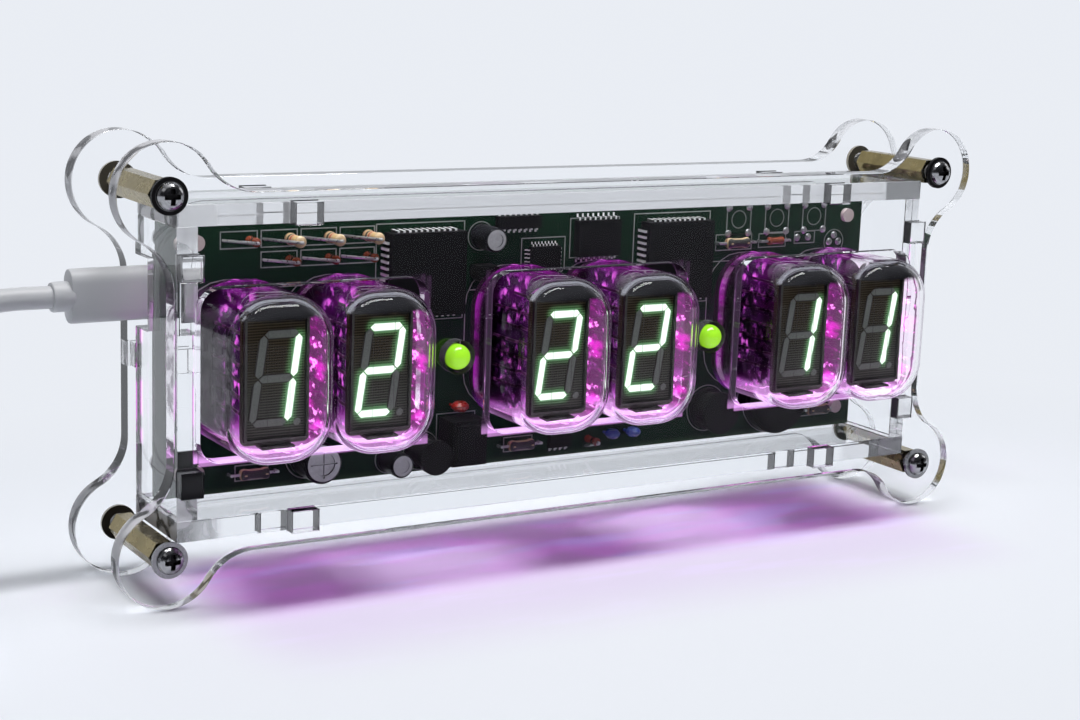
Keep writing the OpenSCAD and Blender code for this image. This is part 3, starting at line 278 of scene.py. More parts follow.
def mottled(dark, light, noise, rough=None, bump=None):  # two tones mixed by noise, roughness by the same
    def paint(flow):
        mix = grain(flow, *noise)
        sockets = {"Base Color": blend(mix, dark, light)}
        if rough:
            sockets["Roughness"] = rough[0] + rough[1] * mix
        if bump:
            bumpNoise, strength, distance = bump
            sockets["Normal"] = bumped(grain(flow, *bumpNoise), strength, distance)
        return sockets

    return paint


def upright(flow):  # 1 on walls that face the left or the right
    return spread(abs(surfaceWay(flow)[0]), 0.4, 0.8)


def sideOn(flow):  # 1 on walls that run from front to back
    return spread(abs(surfaceWay(flow)[1]), 0.8, 0.4)


def paintAcrylic(flow):  # the tubes' light in the window edges, its glints at the end panels' rear edges
    x, deep, height = casePlace(flow)
    pitch = case["pairPitch"]
    across = abs((x + pitch / 2) % pitch - pitch / 2)
    wide, tall = (size / 2 for size in case["window"][:2])
    sheet = case["sheet"]
    inside = within(across, wide + 0.2, 0.3) * within(height, tall + 0.2, 0.3)
    inside = inside * spread(deep, sheet + 0.7, sheet + 0.4)
    ends = 0.12 + 0.5 * spread(across, wide - 1, wide)
    low = spread(height, 2 - tall, 0.2 - tall)
    endPanel = case["boxX"] - sheet
    behind = spread(deep, rearFace - 1.1, rearFace - 0.6) * spread(deep, rearFace - 0.01, rearFace - 0.03)
    behind = behind * spread(abs(x), endPanel - 0.3, endPanel + 0.1) * upright(flow)
    glint = behind * within(height, 14.0, 6.0) * spread(grain(flow, 0.3, 2.0), 0.4, 0.6)
    glow = blend(inside * (0.1 * ends + 0.9 * low), grey(0), (0.8, 0.36, 0.9))
    return {"Emission Color": blend(glint, glow, (0.9, 0.05, 0.9))}


def paintedEdgeLightAndShade(flow):  # painted light and shade on the cut edges: pale and dark stretches on ears and sheet ends, more of them on the left ears and darker on the right sheet ends; painted shade as dark walls in slots and holes, darkest in the lower left end slot
    x, deep, height = casePlace(flow)
    high, wide = abs(height), abs(x)
    right, lowLeft = x > 0, (x < 0) * (height < 0)
    band = grain(flow, 0.17, 1.0)
    dark = spread(band, 0.46, 0.52) * spread(band, 0.64, 0.58)
    earX, earZ = case["screwX"] - 9, case["screwZ"] - 9
    ear = spread(wide, earX - 3, earX) * spread(high, earZ - 4, earZ) * (0.2 + 0.3 * (x < 0))
    sheetEnd = within(wide - case["boxX"], 0.15, 0.15) * upright(flow) * within(high, case["boxZ"], 0.2)
    levelSlot = within(wide - case["tabX"], 2.9, 0.3) * within(high - levelMid, 2.2, 0.3) * upright(flow)
    endSlot = within(wide - endMid, 2.2, 0.3) * within(high - case["sideTabZ"], 2.5, 0.3)
    endSlot = endSlot * sideOn(flow).most(lowLeft)
    aside = wide - case["pairPitch"] / 2
    hole = within((aside * aside + high * high) ** 0.5, case["colonHole"] + 0.25, 0.2)
    wall = levelSlot.most(endSlot).most(hole)
    half = case["depth"] / 2
    fromMiddle = abs(deep - case["sheet"] - half)
    longEdge = spread(fromMiddle, half - 0.25, half - 0.2) * within(fromMiddle, half, 0.05)
    longEdge = longEdge * within(high - levelMid, 2.1, 0.1) * (height > 0)
    # painted light: a pale band over the top panel's long edges
    paintedPaleEdge = longEdge * (1 - wall) * within(wide, case["boxX"] - 0.4, 0.2)
    tone = blend(dark, (0.82, 0.82, 0.86), (0.1, 0.1, 0.11))
    tone = blend(wall, tone, (0.05, 0.05, 0.055))
    tone = blend(sheetEnd * right, tone, (0.1, 0.11, 0.115))
    tone = blend(endSlot * lowLeft, tone, (0.012, 0.012, 0.014))
    tone = blend(paintedPaleEdge, tone, (0.82, 0.83, 0.86))
    share = ear.most(sheetEnd * (0.6 + 0.25 * right)).most(0.85 * wall + 0.13 * endSlot * lowLeft)
    return share.most(0.3 * longEdge), {"Base Color": tone}


# painted light and reflection on the outer skin: magenta at the top and along the side walls near the rear,
# pale lavender low down and a pale haze on the right
def paintBulbOuter(flow):
    x, y, z = objectPlace(flow)
    # noise that breaks up the painted glow
    glowPatches = grain(flow, 0.22, 3.0, (1, 0.3, 1))
    top = spread(z, 9.0, 15.0) * spread(y, -8.0, 6.0) * spread(y, 9.0, 4.0)
    top = top * (0.02 + 0.4 * spread(glowPatches, 0.46, 0.68))
    low = spread(z, -11.5, -15.2)
    edge = spread(y, 9.5, 12.2) * sideOn(flow) * (0.06 + 0.94 * spread(glowPatches, 0.46, 0.62))
    right = spread(x, 7.0, 10.0) * spread(y, -10.0, -5.0) * spread(z, 15.0, 10.0)
    tint = blend(low.most(right), (0.72, 0.03, 0.8), (0.8, 0.45, 0.9))
    return glowing(top + 0.22 * low + 0.08 * right + 0.5 * edge, tint)


def paintBulbInner(flow):  # the side of the wall that faces the vacuum carries the painted light of the tube's lamp: magenta streaks and sparks, pale lavender low down
    x, y, z = objectPlace(flow)
    wall = spread(y, -9.5, -4.0) * sideOn(flow)
    streak = grain(flow, 0.34, 4.0, (1, 0.35, 1))
    spark = grain(flow, 0.9, 2.0, (1, 0.5, 1))
    low = spread(z, -10.0, -14.0)
    high = spread(z, 9.0, 13.5)
    right = spread(x, 3.0, 9.0)
    body = wall * (0.015 + 0.05 * right + 0.55 * spread(streak, 0.5, 0.7)) * (1 - 0.7 * high)
    hot = wall * spread(spark, 0.6, 0.7) * (1 - high)
    facing = flow.node("NewGeometry", out="Backfacing")
    tint = blend(hot, (0.8, 0.0, 0.62), (1.0, 0.3, 0.95))
    tint = blend(low * 0.75, tint, (0.75, 0.4, 0.85))
    return glowing((body + 0.75 * hot + 0.22 * low) * (1 - facing), tint)


def getterMirrorAndShade(flow):  # mirror left by the getter inside the top shoulder; painted shade: dark patches on the left wall
    x, y, z = objectPlace(flow)
    ragged = grain(flow, 0.4, 3.0)
    mirror = spread(z + 0.8 * ragged, 11.4, 12.4) * spread(y, -5.0, -6.5)
    # painted shade on the left wall
    patch = spread(x, -8.2, -9.0) * spread(y, -8.0, -6.0) * within(z, 11.5, 3.0)
    dark = patch * (0.3 + 0.6 * spread(ragged, 0.4, 0.56))
    tone = blend(patch, (0.4, 0.4, 0.42), (0.02, 0.012, 0.02))
    return mirror.most(dark), {"Base Color": tone}


def paintBase(flow):  # dark glass with painted light: the lamp breaking through round the pins, and a glow low down
    x, z = objectPlace(flow)[::2]
    spark = grain(flow, 0.7, 3.0, (1.2, 1, 0.6))
    cloud = grain(flow, 0.16, 2.0)
    column = within(x, 2.4, 2.2)
    hot = spread(spark, 0.5, 0.66) * column * spread(cloud, 0.4, 0.56)
    low = spread(z, -9.0, -14.0)
    tint = blend(hot, (0.3, 0.02, 0.5), (1.0, 0.16, 0.95))
    return glowing(0.05 * column + 0.95 * hot + 0.3 * low, tint)


# painted light: magenta glints of the tube's lamp on the pins
def paintPins(flow):
    spark = grain(flow, 0.8, 3.0, (0.3, 1, 1))
    return {
        "Base Color": blend(spark, (0.05, 0.045, 0.05), (0.2, 0.18, 0.2)),
        "Roughness": 0.25 + 0.2 * spark,
        **glowing(spread(spark, 0.5, 0.66) * 0.2, (1.0, 0.15, 1.0)),
    }


def paintPlate(flow):  # dark ceramic behind a wire grid, with painted glow round the lit strokes; paler and greyer low down, a painted reflection of the floor
    x, z = objectPlace(flow)[::2]
    across, down = (abs((value / 0.5) % 1.0 - 0.5) for value in (x, z))
    wire = (0.55 * (across > 0.34)).most(down > 0.28)
    # painted reflection: paler and greyer low down, darker and warmer high up
    high = spread(z, -7.0, 5.0)
    ground = blend(high, (0.035, 0.038, 0.03), (0.016, 0.011, 0.005))
    mesh = blend(high, (0.11, 0.115, 0.095), (0.075, 0.062, 0.038))
    halo = flow.node("Attribute", {"attribute_name": "halo"}, out="Fac")
    return {
        "Base Color": blend(wire, ground, mesh),
        "Roughness": 0.5 + 0.2 * wire,
        **glowing(halo * (0.3 + 0.7 * wire), (0.22, 0.62, 0.24)),
    }


def strokeCore(flow):  # 1 along the middle of a digit's strokes, 0 at their rims
    x, height = casePlace(flow)[::2]
    pitch = case["pairPitch"]
    inPair = (x + pitch / 2) % pitch - pitch / 2
    inTube = (abs(inPair) - (tubeXs[1] - tubeXs[0]) / 2 / mm) * (2 * (inPair > 0) - 1)
    halfW, halfH = ((digit[side] - digit["stroke"]) / 2 for side in ("width", "height"))
    across = inTube - height * tan(radians(digit["slant"]))
    fromUpright = abs(abs(across) - halfW)
    fromLevel = abs(height).least(abs(abs(height) - halfH))
    point = across > digit["width"] / 2 + 0.1
    return spread(fromUpright.least(fromLevel), 0.75, 0.6).most(point)


def paintLit(flow):
    bright = blend(grain(flow, 2.5, 2.0), (0.78, 1.0, 0.8), (0.9, 1.0, 0.92))
    return {"Emission Color": blend(strokeCore(flow), (0.05, 0.16, 0.06), bright)}


def paintUnlit(flow):
    dim = blend(grain(flow, 3.0, 3.0), (0.12, 0.14, 0.12), (0.24, 0.26, 0.23))
    return {"Base Color": blend(strokeCore(flow), (0.03, 0.028, 0.02), dim)}


def paintScrew(flow):  # plated head, with painted shade in the cross and round the rim
    x, deep, height = casePlace(flow)
    stainAndPaintedGlow = grain(flow, 0.9, 3.0)
    dx, dz = abs(x) - case["screwX"], abs(height) - case["screwZ"]
    r = (dx * dx + dz * dz) ** 0.5
    front = headFrontAt - faceAt - deep
    # painted shade round the front heads' rims, deeper on the upper screws
    rim = spread(r, 2.45, 2.75) * spread(front, -8.0, -6.0) * (0.3 + 0.7 * (height > 0))
    cross = spread(r, 1.75, 1.6) * spread(front, -0.35, -0.55)
    dark = rim.most(cross)
    # painted light: the rear heads bronze and less metallic, so that they show lighter
    rear = spread(front, -12.0, -14.0)
    plated = blend(stainAndPaintedGlow, (0.24, 0.24, 0.25), (0.46, 0.46, 0.48))
    plated = blend(rear, plated, (0.34, 0.31, 0.25))
    return {
        "Metallic": 1 - 0.6 * rear,
        "Base Color": blend(dark, plated, (0.015, 0.014, 0.015)),
        "Roughness": 0.1 + 0.15 * stainAndPaintedGlow + 0.3 * dark,
    }


def paintBoard(flow):  # solder mask over tracks, paler green near the top and bottom edges
    height = casePlace(flow)[2]
    weave = grain(flow, 1.6, 2.0)
    way = grain(flow, 0.16, 0.0, (1, 1, 3))
    path = abs((way * 26) % 1.0 - 0.5) < 0.16
    edge = spread(abs(height), 25.2, 26.3)
    ground = blend(path * 0.6, (0.004, 0.02, 0.01), (0.007, 0.036, 0.018))
    shade = blend(weave * 0.25, ground, (0.002, 0.01, 0.006))
    return {
        "Base Color": blend(edge * 0.5, shade, (0.05, 0.11, 0.05)),
        "Roughness": 0.28 + 0.2 * weave,
        "Normal": bumped(path * 0.5 + weave * 0.2, 0.3, 0.03),
    }


def paintCan(flow):  # black sleeve, bare metal inside the rolled rim of the top
    x, height = casePlace(flow)[::2]
    reach = None
    for cx, cz, r in cans:
        dx, dz = (x - cx) / r, (height - cz) / r
        away = (dx * dx + dz * dz) ** 0.5
        reach = away if reach is None else reach.least(away)
    top = spread(reach, 0.86, 0.8) * (surfaceWay(flow)[1] < -0.8)
    scuff = grain(flow, 1.2, 3.0)
    sleeve = blend(scuff, (0.004, 0.004, 0.006), (0.014, 0.014, 0.018))
    bare = blend(scuff, (0.3, 0.3, 0.31), (0.5, 0.5, 0.52))
    return {
        "Base Color": blend(top, sleeve, bare),
        "Metallic": 0.5 * top,
        "Roughness": 0.3 + 0.15 * scuff,
    }


def paintFerrite(flow):
    turn = abs((objectPlace(flow)[1] / 0.42) % 1.0 - 0.5)
    tones = mottled((0.007, 0.007, 0.008), (0.022, 0.022, 0.024), (2.5, 3.0), (0.5, 0.2))
    return {**tones(flow), "Normal": bumped(turn, 0.2, 0.05)}


def paintDisc(flow):  # red on the left half of the board, blue on the right
    blue = objectPlace(flow)[0] > 0
    dip = grain(flow, 0.8, 2.0)
    dipped = blend(blue, (0.4, 0.025, 0.015), (0.03, 0.08, 0.32))
    return {
        "Base Color": blend(dip * 0.4, dipped, (0.02, 0.01, 0.02)),
        "Roughness": 0.2 + 0.15 * dip,
    }


def paintColon(flow):  # only the dome shines; the body behind it is painted dark, as shade inside the hole
    x, deep, height = casePlace(flow)
    front = spread(deep, 2.4, 0.6)
    side = abs(x) - case["pairPitch"] / 2
    spot = 1 - spread((side * side + height ** 2) ** 0.5, 1.2, 2.5)
    deepGreen, brightGreen = (0.006, 0.03, 0.0), (0.42, 0.9, 0.03)
    return {
        # painted shade: the body behind the dome dark green
        "Base Color": blend(front, (0.008, 0.02, 0.003), (0.2, 0.5, 0.02)),
        "Emission Color": blend(front * (0.75 + 0.25 * spot), deepGreen, brightGreen),
    }


def paintLamp(flow):
    soft = grain(flow, 0.7, 2.0)
    return {"Emission Color": blend(soft, (1.0, 0.1, 0.95), (1.0, 0.55, 1.0))}


def paintSensor(flow):
    track = abs((objectPlace(flow)[0] / 0.7) % 1.0 - 0.5) < 0.2
    return {
        "Base Color": blend(track, (0.45, 0.16, 0.04), (0.12, 0.05, 0.03)),
        "Roughness": 0.3 + 0.1 * track,
    }


def paintBanded(flow):  # beige lacquer with colour bands along the piece's own z
    z = objectPlace(flow)[2]
    fine = grain(flow, 3.0, 2.0)
    body = blend(fine, (0.4, 0.28, 0.15), (0.55, 0.41, 0.25))
    for place, band in resistorBands:
        body = blend(abs(z - place) < 0.28, body, band)
    return {"Base Color": body, "Roughness": 0.28 + 0.15 * fine}


def paintDiode(flow):  # glass over a red body, one dark band
    fine = grain(flow, 1.2, 2.0)
    body = blend(fine, (0.1, 0.02, 0.01), (0.22, 0.05, 0.025))
    return {
        "Base Color": blend(abs(objectPlace(flow)[2] - 3.4) < 0.35, body, grey(0.01)),
        "Roughness": 0.12 + 0.1 * fine,
    }


glass = {"Transmission Weight": 1.0, "IOR": 1.49, "Roughness": 0.0, "Base Color": (0.985, 0.99, 0.995)}
tubeGlass = {**glass, "IOR": 1.22, "Base Color": (1, 0.985, 1)}
glaze = {"Coat Weight": 0.22, "Coat IOR": 1.45, "Coat Roughness": 0.02}
dull = {"Specular IOR Level": 0.05}
metal = {"Metallic": 1.0}


def tinted(tone, strength):
    return {"Specular Tint": grey(tone), "Emission Strength": strength}


recipes = {  # key: the material's name, its constant sockets, what paints the others
    "acrylic": ("clearAcrylic", {**glass, **tinted(0.04, 0.6)}, paintAcrylic),
    "cutEdge": ("acrylicEdge", {**glass, **tinted(0.3, 0.6)}, paintAcrylic),
    "bulbOuter": ("bulbGlass", {**tubeGlass, **glaze, **tinted(0.12, 0.7)}, paintBulbOuter),
    "bulbInner": ("bulbLining", {**tubeGlass, **tinted(0.1, 1.7)}, paintBulbInner),
    "base": (
        "tubeBaseGlass",
        {**dull, "Base Color": (0.02, 0.006, 0.02), "Roughness": 0.15, "Emission Strength": 0.9},
        paintBase,
    ),
    "pins": ("tubePin", {**metal, "Emission Strength": 0.7}, paintPins),
    "plate": ("displayPlate", {**dull, "Emission Strength": 0.4}, paintPlate),
    "lit": ("litPhosphor", {"Base Color": (0.1, 0.12, 0.1), "Emission Strength": 1.25}, paintLit),
    "unlit": ("darkPhosphor", {"Roughness": 0.8}, paintUnlit),
    "brass": (
        "turnedBrass", metal,
        mottled((0.17, 0.133, 0.05), (0.36, 0.29, 0.14), (0.4, 4.0), (0.16, 0.2),
                ((2.0, 2.0, (1, 6, 1)), 0.15, 0.02)),
    ),
    "chrome": ("platedSteel", metal, mottled((0.5, 0.5, 0.51), (0.72, 0.72, 0.74), (0.9, 3.0), (0.08, 0.18))),
    "screw": ("platedScrew", {}, paintScrew),
    "darkSteel": (
        "tubeSteel", metal, mottled((0.04, 0.04, 0.038), (0.12, 0.12, 0.11), (1.0, 3.0), (0.35, 0.3)),
    ),
    "board": ("solderMask", dull, paintBoard),
    "print": ("boardPrint", {"Roughness": 0.7}, mottled((0.14, 0.15, 0.15), (0.4, 0.42, 0.42), (1.8, 3.0))),
    "solder": (
        "tinnedSolder", metal, mottled((0.28, 0.28, 0.3), (0.55, 0.55, 0.57), (1.5, 3.0), (0.15, 0.3)),
    ),
    "black": (
        "blackMoulding", dull,
        mottled((0.005, 0.005, 0.006), (0.016, 0.016, 0.018), (3.0, 3.0), (0.38, 0.2),
                ((3.0, 3.0), 0.2, 0.02)),
    ),
    "can": ("capacitorCan", dull, paintCan),
    "ferrite": ("darkFerrite", dull, paintFerrite),
    "disc": ("dippedCeramic", {}, paintDisc),
    "colon": ("greenEpoxy", {"Roughness": 0.15, "Emission Strength": 0.6}, paintColon),
    "lamp": ("backlightLamp", {"Emission Strength": 3.0}, paintLamp),
    "vinyl": (
        "whiteVinyl", {},
        mottled((0.5, 0.51, 0.54), (0.6, 0.61, 0.63), (0.06, 2.0), (0.42, 0.1), ((6.0, 2.0), 0.12, 0.02)),
    ),
    "nylon": ("nylonPost", {}, mottled((0.4, 0.33, 0.33), (0.52, 0.44, 0.44), (1.0, 2.0), (0.5, 0.1))),
    "sensor": ("sensorDisc", {}, paintSensor),
    "banded": ("resistorLacquer", {}, paintBanded),
    "diode": ("diodeGlass", {}, paintDiode),
}
finish = {key: makeMaterial(*recipe) for key, recipe in recipes.items()}
addFilm(finish["bulbInner"], getterMirrorAndShade, {**metal, "Roughness": 0.04})
addFilm(finish["cutEdge"], paintedEdgeLightAndShade, {"Roughness": 0.25, **dull})
print("materials made:", len(finish))

# Mesh helpers


def meshObject(name, shapes, materials, smooth=35, place=None):
    mesh = bpy.data.meshes.new(name)
    verts, faces, slots = [], [], []
    for shape in shapes:
        start = len(verts)
        verts += [tuple(v) for v in shape["verts"]]
        faces += [[start + i for i in f] for f in shape["faces"]]
        slots += shape.get("slots") or [shape.get("slot", 0)] * len(shape["faces"])
    mesh.from_pydata([tuple(c * mm for c in v) for v in verts], [], faces)
    mesh.polygons.foreach_set("material_index", slots)
    for material in materials:
        mesh.materials.append(material)
    mesh.validate()
    mesh.shade_smooth()
    mesh.set_sharp_from_angle(angle=radians(smooth))
    made = linked(name, mesh)
    if place:
        made.matrix_world = place
    return made


def settle(piece, body, slot, *replaced):
    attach(piece, body)
    piece.visible_shadow = slot != "clear_sheet"  # light passes through
    if replaced:
        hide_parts(*replaced)
    return piece


def turnedOver(faces):
    return [face[::-1] for face in faces]


def moved(shape, place):  # its faces stay outward where place mirrors
    faces = shape["faces"] if place.determinant() > 0 else turnedOver(shape["faces"])
    return {**shape, "verts": [place @ Vector(v) for v in shape["verts"]], "faces": faces}


def loft(rings, slot=0):
    n = len(rings[0])
    last = len(rings) - 1
    faces = []
    for i in range(last):
        for j in range(n):
            k = (j + 1) % n
            faces.append([i * n + j, i * n + k, (i + 1) * n + k, (i + 1) * n + j])
    faces.append(list(range(n))[::-1])
    faces.append([last * n + j for j in range(n)])
    return {"verts": [v for ring in rings for v in ring], "faces": faces, "slot": slot}


def circleRing(x, z, r, steps=32):
    return [(x + r * cos(2 * pi * j / steps), z + r * sin(2 * pi * j / steps)) for j in range(steps)]


def lathe(profile, steps=32, slot=0):  # (radius, height) pairs, turned about z
    return loft([[(x, y, h) for x, y in circleRing(0, 0, r, steps)] for r, h in profile], slot)


def rod(start, end, radius, steps=10, slot=0):
    a, b = Vector(start), Vector(end)
    place = (b - a).to_track_quat("Z", "Y").to_matrix().to_4x4()
    place.translation = a
    return moved(lathe([(radius, 0), (radius, (b - a).length)], steps, slot), place)


def roundedRing(w, h, r, steps):  # 2-D outline, anticlockwise
    points = []
    for q in range(4):
        cx = (w / 2 - r) * (1 if q in (0, 3) else -1)
        cz = (h / 2 - r) * (1 if q < 2 else -1)
        for s in range(steps + 1):
            a = pi / 2 * (q + s / steps)
            points.append((cx + r * cos(a), cz + r * sin(a)))
    return points


def boxRing(x, z, w, h):
    return [(x - w / 2, z - h / 2), (x + w / 2, z - h / 2), (x + w / 2, z + h / 2), (x - w / 2, z + h / 2)]


def shiftRing(ring, dx, dz):
    return [(x + dx, z + dz) for x, z in ring]


def insetRing(ring, amount):  # moves an outline to its left by amount
    n = len(ring)
    result = []
    for i in range(n):
        before, here, after = (Vector(ring[(i + k) % n]) for k in (-1, 0, 1))
        one = (here - before).normalized()
        two = (after - here).normalized()
        left = Vector((-one.y - two.y, one.x + two.x))
        left.normalize()
        stretch = max(left.dot(Vector((-one.y, one.x))), 0.35)  # sharp corners move no further
        result.append(tuple(here + left * (amount / stretch)))
    return result


def sheetShape(outer, holes, thickness, bevel):  # in its own plane, its depth along z from 0
    rings = [outer] + [hole[::-1] for hole in holes]
    caps = [insetRing(ring, bevel) for ring in rings]
    verts, faces, firsts = [], [], []
    for ring, cap in zip(rings, caps):
        n = len(ring)
        start = len(verts)
        firsts.append(start)
        for points, depth in ((cap, 0), (ring, bevel), (ring, thickness - bevel), (cap, thickness)):
            verts += [(x, z, depth) for x, z in points]
        for level in range(3):
            low, high = start + level * n, start + (level + 1) * n
            for j in range(n):
                k = (j + 1) % n
                faces.append([low + j, low + k, high + k, high + j])
    edges = len(faces)
    flat = [[Vector((x, z, 0)) for x, z in cap] for cap in caps]
    index = [(ring, j) for ring in range(len(rings)) for j in range(len(rings[ring]))]
    for triangle in tessellate_polygon(flat):
        a, b, c = (Vector(caps[index[t][0]][index[t][1]]) for t in triangle)
        turn = (b - a).x * (c - a).y - (b - a).y * (c - a).x
        corners = [index[t] for t in (triangle if turn > 0 else triangle[::-1])]
        front = [firsts[ring] + j for ring, j in corners]
        faces.append(front[::-1])
        faces.append([firsts[ring] + 3 * len(rings[ring]) + j for ring, j in corners])
    return {"verts": verts, "faces": faces, "slots": [1] * edges + [0] * (len(faces) - edges)}


# x stays, the outline's second value becomes height, depth goes to the back
facing = Matrix(((1, 0, 0, 0), (0, 0, 1, 0), (0, 1, 0, 0), (0, 0, 0, 1)))

# x stays, the outline's second value becomes height, depth comes to the front
outward = Matrix(((1, 0, 0, 0), (0, 0, -1, 0), (0, 1, 0, 0), (0, 0, 0, 1)))

# Lead

lead = {
    "diameter": 4.2,
    "way": [
        (0, 0, 1), (-7, 0, 1), (-11.5, 0, 0.99), (-15.8, 0, 0.955), (-19.4, 0, 0.9), (-22, 0, 0.83),
        (-23.6, 0, 0.75), (-24, 0, 0.66), (-24, 0, 0.5), (-24, 0, 0.34), (-24, -0.5, 0.25), (-24, -2.2, 0.17),
        (-24, -5, 0.1), (-24, -8.6, 0.045), (-24, -12.8, 0.01), (-24, -17, 0), (-24, -21, 0),
    ],  # steps from the collar in mm, and the share of the height left
    "coilLow": 2.9,
    "turns": 6.25,
    "layers": 4,
    "leastRadius": 17.2,
    "turnStep": 4.9,
    "layerStep": 4.7,
    "wayPoints": 5,
    "turnPoints": 48,
    "tailPoints": 24,
    "tailLevel": 0.3,  # share of the tail that stays at the coil's top
}


def smoothed(points, between):  # a curve through all the points
    result = []
    last = len(points) - 1
    for i in range(last):
        p0, p1, p2, p3 = (points[min(max(i + k, 0), last)] for k in (-1, 0, 1, 2))
        for s in range(between):
            t = s / between
            square, cube = 2 * p0 - 5 * p1 + 4 * p2 - p3, 3 * p1 - p0 - 3 * p2 + p3
            result.append(0.5 * ((2 * p1) + (p2 - p0) * t + square * t * t + cube * t ** 3))
    return result + [points[last]]


def ease(t):
    t = min(max(t, 0), 1)
    return t * t * (3 - 2 * t)


def leadPath(spec):
    gripLow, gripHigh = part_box("plug_grip")
    exitAt = Vector((gripLow.x, (gripLow.y + gripHigh.y) / 2, (gripLow.z + gripHigh.z) / 2)) / mm
    low = spec["coilLow"]
    drop = exitAt.z - low
    route = [Vector((exitAt.x + x, exitAt.y + y, low + share * drop)) for x, y, share in spec["way"]]
    points = smoothed(route, spec["wayPoints"])
    d = spec["diameter"]
    layerTurns = spec["turns"] / spec["layers"]
    outer = spec["leastRadius"] + spec["turnStep"] * layerTurns
    centre = route[-1] - Vector((outer, d, 0))

    def coilPoint(u, r, z):
        return centre + Vector((r * cos(2 * pi * u), -r * sin(2 * pi * u), z))

    for k in range(int(spec["turns"] * spec["turnPoints"]) + 1):
        u = k / spec["turnPoints"]
        r = spec["leastRadius"] + spec["turnStep"] * abs(u % (2 * layerTurns) - layerTurns)
        climb = sum(ease(2 * (u - layer * layerTurns) + 0.5) for layer in range(1, spec["layers"]))
        points.append(coilPoint(u, r, spec["layerStep"] * climb))
    plugLow, plugHigh = (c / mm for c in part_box("supply_grip"))
    top = (spec["layers"] - 1) * spec["layerStep"]
    tailRadius = centre.x - (plugLow.x + plugHigh.x) / 2
    sink = low + top - (plugLow.z + plugHigh.z) / 2
    for k in range(1, spec["tailPoints"] + 1):
        t = k / spec["tailPoints"]
        r = outer + (tailRadius - outer) * ease(t)
        fall = ease((t - spec["tailLevel"]) / (1 - spec["tailLevel"]))
        points.append(coilPoint(spec["turns"] + t / 4, r, top - sink * fall))
    points.append(points[-1] + Vector((0, d, 0)))
    return [p * mm for p in points]


def addLead(spec):
    path = leadPath(spec)
    curve = bpy.data.curves.new("leadCable", "CURVE")
    curve.dimensions = "3D"
    curve.twist_mode = "MINIMUM"
    curve.bevel_depth = spec["diameter"] / 2 * mm
    curve.bevel_resolution = 5
    curve.use_fill_caps = True
    spline = curve.splines.new("POLY")
    spline.points.add(len(path) - 1)
    for point, place in zip(spline.points, path):
        point.co = (*place, 1)
    spline.use_smooth = True
    cable = linked("leadCable", curve)
    curve.materials.append(finish["vinyl"])
    settle(cable, "lead", "lead_white", "lead_cable", "lead_coil")
    pieces = [nodes[n] for n in ("plug_shell", "coil_tie", "supply_shell")]
    pieces += [addPlugGrip(plugGrip), addSupplyGrip(supplyGrip)]


def stadiumRing(w, t, steps=12):  # w along the first axis, round edges of radius t / 2
    points = []
    for side in (1, -1):
        for s in range(steps + 1):
            a = -pi / 2 + pi * s / steps
            points.append((side * ((w - t) / 2 + t / 2 * cos(a)), side * t / 2 * sin(a)))
    return points


def gripShape(w, t, length, edge):  # along z, its ends rounded
    near = edge * 0.3
    steps = [(edge, 0), (near, near), (0, edge), (0, length - edge), (near, length - near), (edge, length)]
    rings = []
    for inset, depth in steps:
        rings.append([(x, y, depth) for x, y in stadiumRing(w - 2 * inset, t - 2 * inset)])
    return loft(rings)


plugGrip = {"length": 16.8, "thickness": 5.2, "edge": 0.5, "collarEdge": 0.4, "lap": 1.0}
supplyGrip = {"edge": 0.8}


def addPlugGrip(spec):  # from the case to the left, then its collar
    low, high = (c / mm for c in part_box("plug_grip"))
    shell = gripShape(high.z - low.z, spec["thickness"], spec["length"], spec["edge"])
    start, end = spec["length"] - spec["lap"], high.x - low.x
    edge, r = spec["collarEdge"], (high.y - low.y) / 2
    near = edge * 0.3
    profile = [(r - edge, start), (r, start + edge), (r, end - edge), (r - near, end - near), (r - edge, end)]
    collar = lathe(profile)
    y, z = (low.y + high.y) / 2, (low.z + high.z) / 2
    place = Matrix(((0, 0, -1, high.x), (0, 1, 0, y), (1, 0, 0, z), (0, 0, 0, 1)))
    piece = meshObject("plugGrip", [moved(shell, place), moved(collar, place)], [finish["vinyl"]])
    return settle(piece, "lead", "lead_white", "plug_grip")


def addSupplyGrip(spec):
    low, high = (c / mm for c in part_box("supply_grip"))
    shell = gripShape(high.x - low.x, high.z - low.z, high.y - low.y, spec["edge"])
    x, z = (low.x + high.x) / 2, (low.z + high.z) / 2
    place = Matrix(((-1, 0, 0, x), (0, 0, 1, low.y), (0, 1, 0, z), (0, 0, 0, 1)))
    piece = meshObject("supplyGrip", [moved(shell, place)], [finish["vinyl"]])
    return settle(piece, "lead", "lead_white", "supply_grip")


addLead(lead)

# Clear case


def arcRing(cx, cz, r, start, end, steps):
    turns = [radians(start + (end - start) * s / steps) for s in range(steps + 1)]
    return [(cx + r * cos(a), cz + r * sin(a)) for a in turns]


